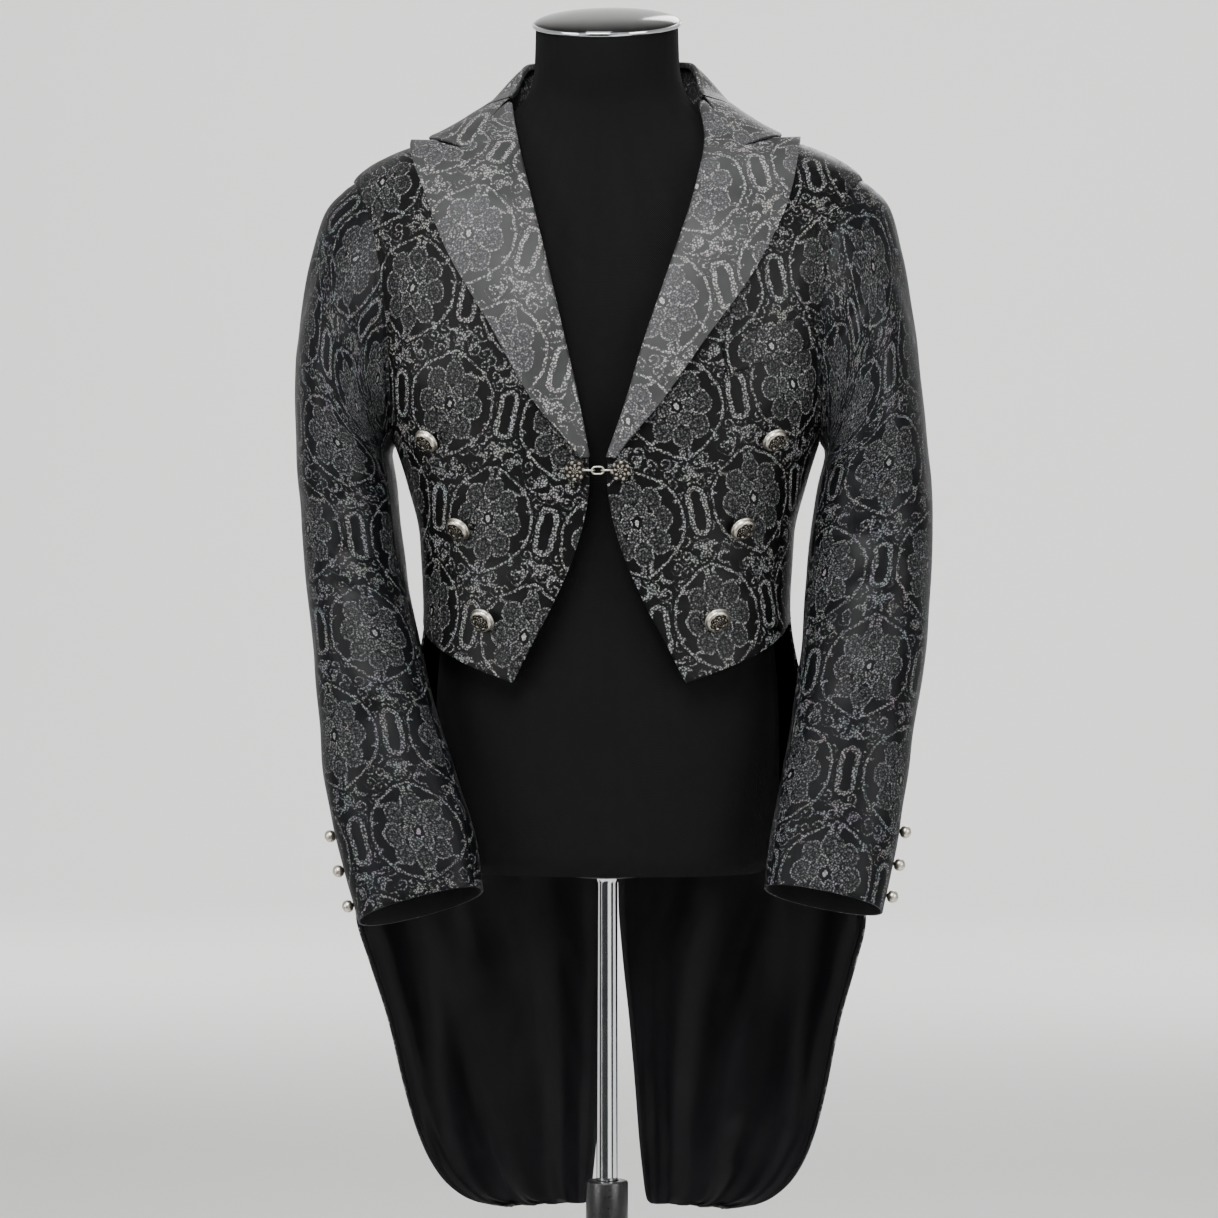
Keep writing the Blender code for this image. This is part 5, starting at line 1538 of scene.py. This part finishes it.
class TAILCOAT_OT_form(bpy.types.Operator):
    """Build the dress form and its neck cap"""

    bl_idname = "tailcoat.form"
    bl_label = "Dress form"

    def execute(self, context):
        low, high = FORM.rows[0][0], FORM.rows[-1][0]
        steps, rounds = 110, 84
        clear_choice()
        bpy.ops.mesh.primitive_circle_add(vertices=rounds, radius=0.1, fill_type="NGON",
                                          location=(0, 0, low))
        thing = begin("dress_form")
        bpy.ops.object.mode_set(mode="EDIT")
        bpy.ops.mesh.select_all(action="SELECT")
        for _ in range(steps):
            bpy.ops.mesh.extrude_region_move(
                TRANSFORM_OT_translate={"value": (0, 0, (high - low) / steps)})
        leave_editing()
        mesh = thing.data
        layer = fresh_map(mesh, "Cloth")
        for vertex in mesh.vertices:
            angle = atan2(vertex.co.x, -vertex.co.y)
            vertex.co = form_point(vertex.co.z, angle)
        for polygon in mesh.polygons:
            angles = []
            for index in polygon.loop_indices:
                point = mesh.vertices[mesh.loops[index].vertex_index].co
                angles.append((atan2(point.x, -point.y), point.z, index))
            wrap = max(a[0] for a in angles) - min(a[0] for a in angles) > 3
            for angle, level, index in angles:
                turn = angle + 2 * pi if wrap and angle < 0 else angle
                layer.data[index].uv = (turn * 0.16, level)   # 0.16 m is its mean radius
        thing.select_set(True)
        context.view_layer.objects.active = thing
        bpy.ops.object.shade_smooth_by_angle(angle=radians(40))
        finish_piece(thing, JERSEY, CLOTH_BODY, "dress_form", slot="form")

        top = FORM.at(high)
        tilt = Matrix.Rotation(atan2(top["lean"], 1), 4, "X")
        place = Matrix.Translation((0, 0, high)) @ tilt @ Matrix.Translation((0, 0, SEAT_GAP))
        radius = top["half"] * (1 + top["lean"] ** 2) ** 0.5
        rim = radius * 1.01
        band = spun("neck_rim", (
            (rim * 0.97, 0.0), (rim * 0.995, 0.0003), (rim, 0.0010), (rim, CAP_RIM - 0.0009),
            (rim * 0.994, CAP_RIM - 0.0002), (rim * 0.97, CAP_RIM)), 96, hollow=True)
        band.data.transform(place)
        finish_piece(band, CHROME, CLOTH_BODY, "neck_cap", slot="chrome")
        inner = rim * 0.969
        dome = [(inner, 0.0), (inner, CAP_RIM - 0.0004)]
        dome += [
            (max(inner * cos(radians(a)), 0.0001),
             CAP_RIM - 0.0004 + (CAP_RISE - CAP_RIM + 0.0004) * sin(radians(a)))
            for a in range(6, 91, 6)
        ]
        cap = spun("neck_cap_dome", dome, 96)
        cap.data.transform(place)
        finish_piece(cap, LACQUER, CLOTH_BODY, slot="cap")
        return {"FINISHED"}


class TAILCOAT_OT_stand(bpy.types.Operator):
    """Turn the pole, the tube with its bushing, and the base plate"""

    bl_idname = "tailcoat.stand"
    bl_label = "Stand"

    def execute(self, context):
        high = FORM.rows[0][0] - SEAT_GAP
        pole = spun("pole", (
            (POLE_RADIUS - 0.001, POLE_FOOT), (POLE_RADIUS, POLE_FOOT + 0.001),
            (POLE_RADIUS, high - 0.0100), (POLE_RADIUS + 0.002, high - FLANGE_THICK),
            (FLANGE_RADIUS - 0.0006, high - 0.0040), (FLANGE_RADIUS, high - 0.0034),
            (FLANGE_RADIUS, high)), 64)
        finish_piece(pole, CHROME, CLOTH_BODY, "pole", slot="chrome")
        pole.data.materials.append(bpy.data.materials[POWDER])   # its flange is painted
        for face in pole.data.polygons:
            face.material_index = int(face.center.z > high - FLANGE_THICK + 0.0002)
        foot = BASE_THICK + SEAT_GAP
        tube = spun("stand_tube", (
            (FLANGE_RADIUS, foot), (FLANGE_RADIUS, foot + FLANGE_THICK - 0.0012),
            (FLANGE_RADIUS - 0.001, foot + FLANGE_THICK),
            (TUBE_RADIUS + 0.002, foot + FLANGE_THICK),
            (TUBE_RADIUS, foot + FLANGE_THICK + 0.002), (TUBE_RADIUS, TUBE_TOP),
            (TUBE_BORE, TUBE_TOP), (TUBE_BORE, foot)), 64, hollow=True)
        finish_piece(tube, POWDER, STAND_BODY, "stand_tube", slot="stand")
        low = TUBE_TOP + SEAT_GAP
        bushing = spun("tube_bushing", (
            (BUSHING_RADIUS, low), (BUSHING_RADIUS, BUSHING_TOP - 0.0020),
            (BUSHING_RADIUS - 0.0006, BUSHING_TOP - 0.0006), (BUSHING_RADIUS - 0.0020, BUSHING_TOP),
            (TUBE_BORE + 0.0008, BUSHING_TOP), (TUBE_BORE, BUSHING_TOP - 0.0008),
            (TUBE_BORE, low)), 64, hollow=True)
        finish_piece(bushing, POWDER, STAND_BODY, "tube_bushing", slot="stand")
        base = spun("base_plate", (
            (BASE_RADIUS - 0.001, 0.0), (BASE_RADIUS, 0.001), (BASE_RADIUS, BASE_THICK - 0.0030),
            (BASE_RADIUS - 0.0009, BASE_THICK - 0.0009), (BASE_RADIUS - 0.0030, BASE_THICK),
            (0.0001, BASE_THICK)), 120)
        finish_piece(base, POWDER, STAND_BODY, "base_plate", slot="stand")
        return {"FINISHED"}


class TAILCOAT_OT_stage(bpy.types.Operator):
    """Set the camera, the pale floor that sweeps up all round, and the soft lights"""

    bl_idname = "tailcoat.stage"
    bl_label = "Stage"

    def execute(self, context):
        scene = context.scene
        turn = radians(CAMERA_TURN)
        lens = bpy.data.cameras.new("Camera")
        lens.lens, lens.sensor_width, lens.clip_end = 115, 36, 60
        camera = bpy.data.objects.new("Camera", lens)
        scene.collection.objects.link(camera)
        camera.location = (CAMERA_FAR * sin(turn) + CAMERA_SHIFT * cos(turn),
                           -CAMERA_FAR * cos(turn) + CAMERA_SHIFT * sin(turn), CAMERA_HEIGHT)
        camera.rotation_euler = (pi / 2, 0, turn)
        scene.camera = camera

        clear_choice()
        bpy.ops.mesh.primitive_cube_add(size=1)
        floor = context.object
        floor.name = floor.data.name = "stage_sweep"
        floor.scale = ROOM_SIZE
        floor.location = (0, 0, ROOM_SIZE[2] / 2)
        bpy.ops.object.transform_apply(location=True, rotation=True, scale=True)
        bpy.ops.object.mode_set(mode="EDIT")
        bpy.ops.mesh.select_all(action="SELECT")
        bpy.ops.mesh.bevel(offset=ROOM_ROUND, segments=12)
        bpy.ops.mesh.flip_normals()
        bpy.ops.object.mode_set(mode="OBJECT")
        bpy.ops.object.shade_smooth_by_angle(angle=radians(40))
        shader = new_finish("Painted sweep")[1]
        shader.inputs["Base Color"].default_value = hex_colour("f2f2f1")
        shader.inputs["Roughness"].default_value = 0.9
        floor.data.materials.append(bpy.data.materials["Painted sweep"])
        clear_choice()

        # Black cards behind the camera and on the floor give polished metal dark stripes.
        shader = new_finish("Black card")[1]
        shader.inputs["Base Color"].default_value = hex_colour("080808")
        shader.inputs["Roughness"].default_value = 0.9
        for name, size, tilt, place in (
                ("stage_card", (3.6, 1.8, 1), pi / 2, (-0.2, -4.6, 0.91)),
                ("stage_floor_card", (1.75, 2.6, 1), 0, (-0.55, -2.1, 0.004)),
                ("stage_side_card", (1.4, 0.7, 1), 0, (-1.7, -0.35, 0.004)),
                ("stage_far_card", (1.3, 0.9, 1), 0, (1.75, -0.75, 0.004))):
            bpy.ops.mesh.primitive_plane_add(size=1)
            card = context.object
            card.name = card.data.name = name
            card.scale = size
            card.rotation_euler = (tilt, 0, 0)
            card.location = place
            card.data.materials.append(bpy.data.materials["Black card"])
            # It works only in reflections: no view shows it, and it casts no shadow.
            card.visible_camera = card.visible_diffuse = card.visible_shadow = False
            clear_choice()

        # The room is closed, so its world gives no light.
        world = bpy.data.worlds.new("Studio")
        world.use_nodes = True
        scene.world = world
        power = scene.tailcoat_sizes.key_power
        for name, place, size, share, aim in (
                ("key", (-0.5, -2.7, 3.4), 1.8, 1.0, (0, 0, 1.2)),
                ("fill", (2.6, -2.2, 1.8), 1.6, 0.40, (0, 0, 1.1)),
                ("other_fill", (-2.7, -2.0, 1.6), 1.6, 0.30, (0, 0, 1.0)),
                ("back", (0.9, 3.6, 3.4), 1.6, 0.40, (0, 0, 1.0)),
                ("sweep_left", (3.0, 6.2, 4.2), 2.4, 1.9, (1.6, 13.0, 1.2)),
                ("sweep_right", (-3.0, 6.2, 4.2), 2.4, 1.9, (-1.6, 13.0, 1.2)),
                ("sweep_front", (0, -6.2, 4.6), 2.4, 1.9, (0, -13.0, 1.2))):
            lamp = bpy.data.lights.new(name, "AREA")
            lamp.shape, lamp.size, lamp.energy = "SQUARE", size, power * share
            light = bpy.data.objects.new(name, lamp)
            scene.collection.objects.link(light)
            light.location = place
            aimed = (Vector(aim) - Vector(place)).to_track_quat("-Z", "Y")
            light.rotation_euler = aimed.to_euler()
        return {"FINISHED"}


class TAILCOAT_PT_panel(bpy.types.Panel):
    """Sizes, colours and pieces of the tailcoat"""

    bl_idname = "TAILCOAT_PT_panel"
    bl_label = "Brocade tailcoat"
    bl_space_type = "VIEW_3D"
    bl_region_type = "UI"
    bl_category = "Tailcoat"

    def draw(self, context):
        column = self.layout.column()
        for group in (context.scene.tailcoat_sizes, context.scene.tailcoat_colours):
            for name in group.__annotations__:
                column.prop(group, name)
        for kind in PIECES:
            column.operator(kind.bl_idname)


PIECES = (
    TAILCOAT_OT_finishes, TAILCOAT_OT_fronts, TAILCOAT_OT_backs, TAILCOAT_OT_lapels,
    TAILCOAT_OT_collar, TAILCOAT_OT_welt, TAILCOAT_OT_sleeves, TAILCOAT_OT_tails,
    TAILCOAT_OT_buttons, TAILCOAT_OT_clasp, TAILCOAT_OT_form, TAILCOAT_OT_stand,
    TAILCOAT_OT_stage,
)
CLASSES = (TailcoatSizes, TailcoatColours, *PIECES, TAILCOAT_PT_panel)


def register():
    for kind in CLASSES:
        bpy.utils.register_class(kind)
    bpy.types.Scene.tailcoat_sizes = PointerProperty(type=TailcoatSizes)
    bpy.types.Scene.tailcoat_colours = PointerProperty(type=TailcoatColours)


def unregister():
    del bpy.types.Scene.tailcoat_sizes
    del bpy.types.Scene.tailcoat_colours
    for kind in reversed(CLASSES):
        bpy.utils.unregister_class(kind)


def main():
    register()
    steps = bpy.ops.tailcoat
    for make in (steps.finishes, steps.fronts, steps.backs, steps.lapels, steps.collar,
                 steps.welt, steps.sleeves, steps.tails, steps.buttons, steps.clasp,
                 steps.form, steps.stand, steps.stage):
        make()
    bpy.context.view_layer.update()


if __name__ == "__main__":
    main()
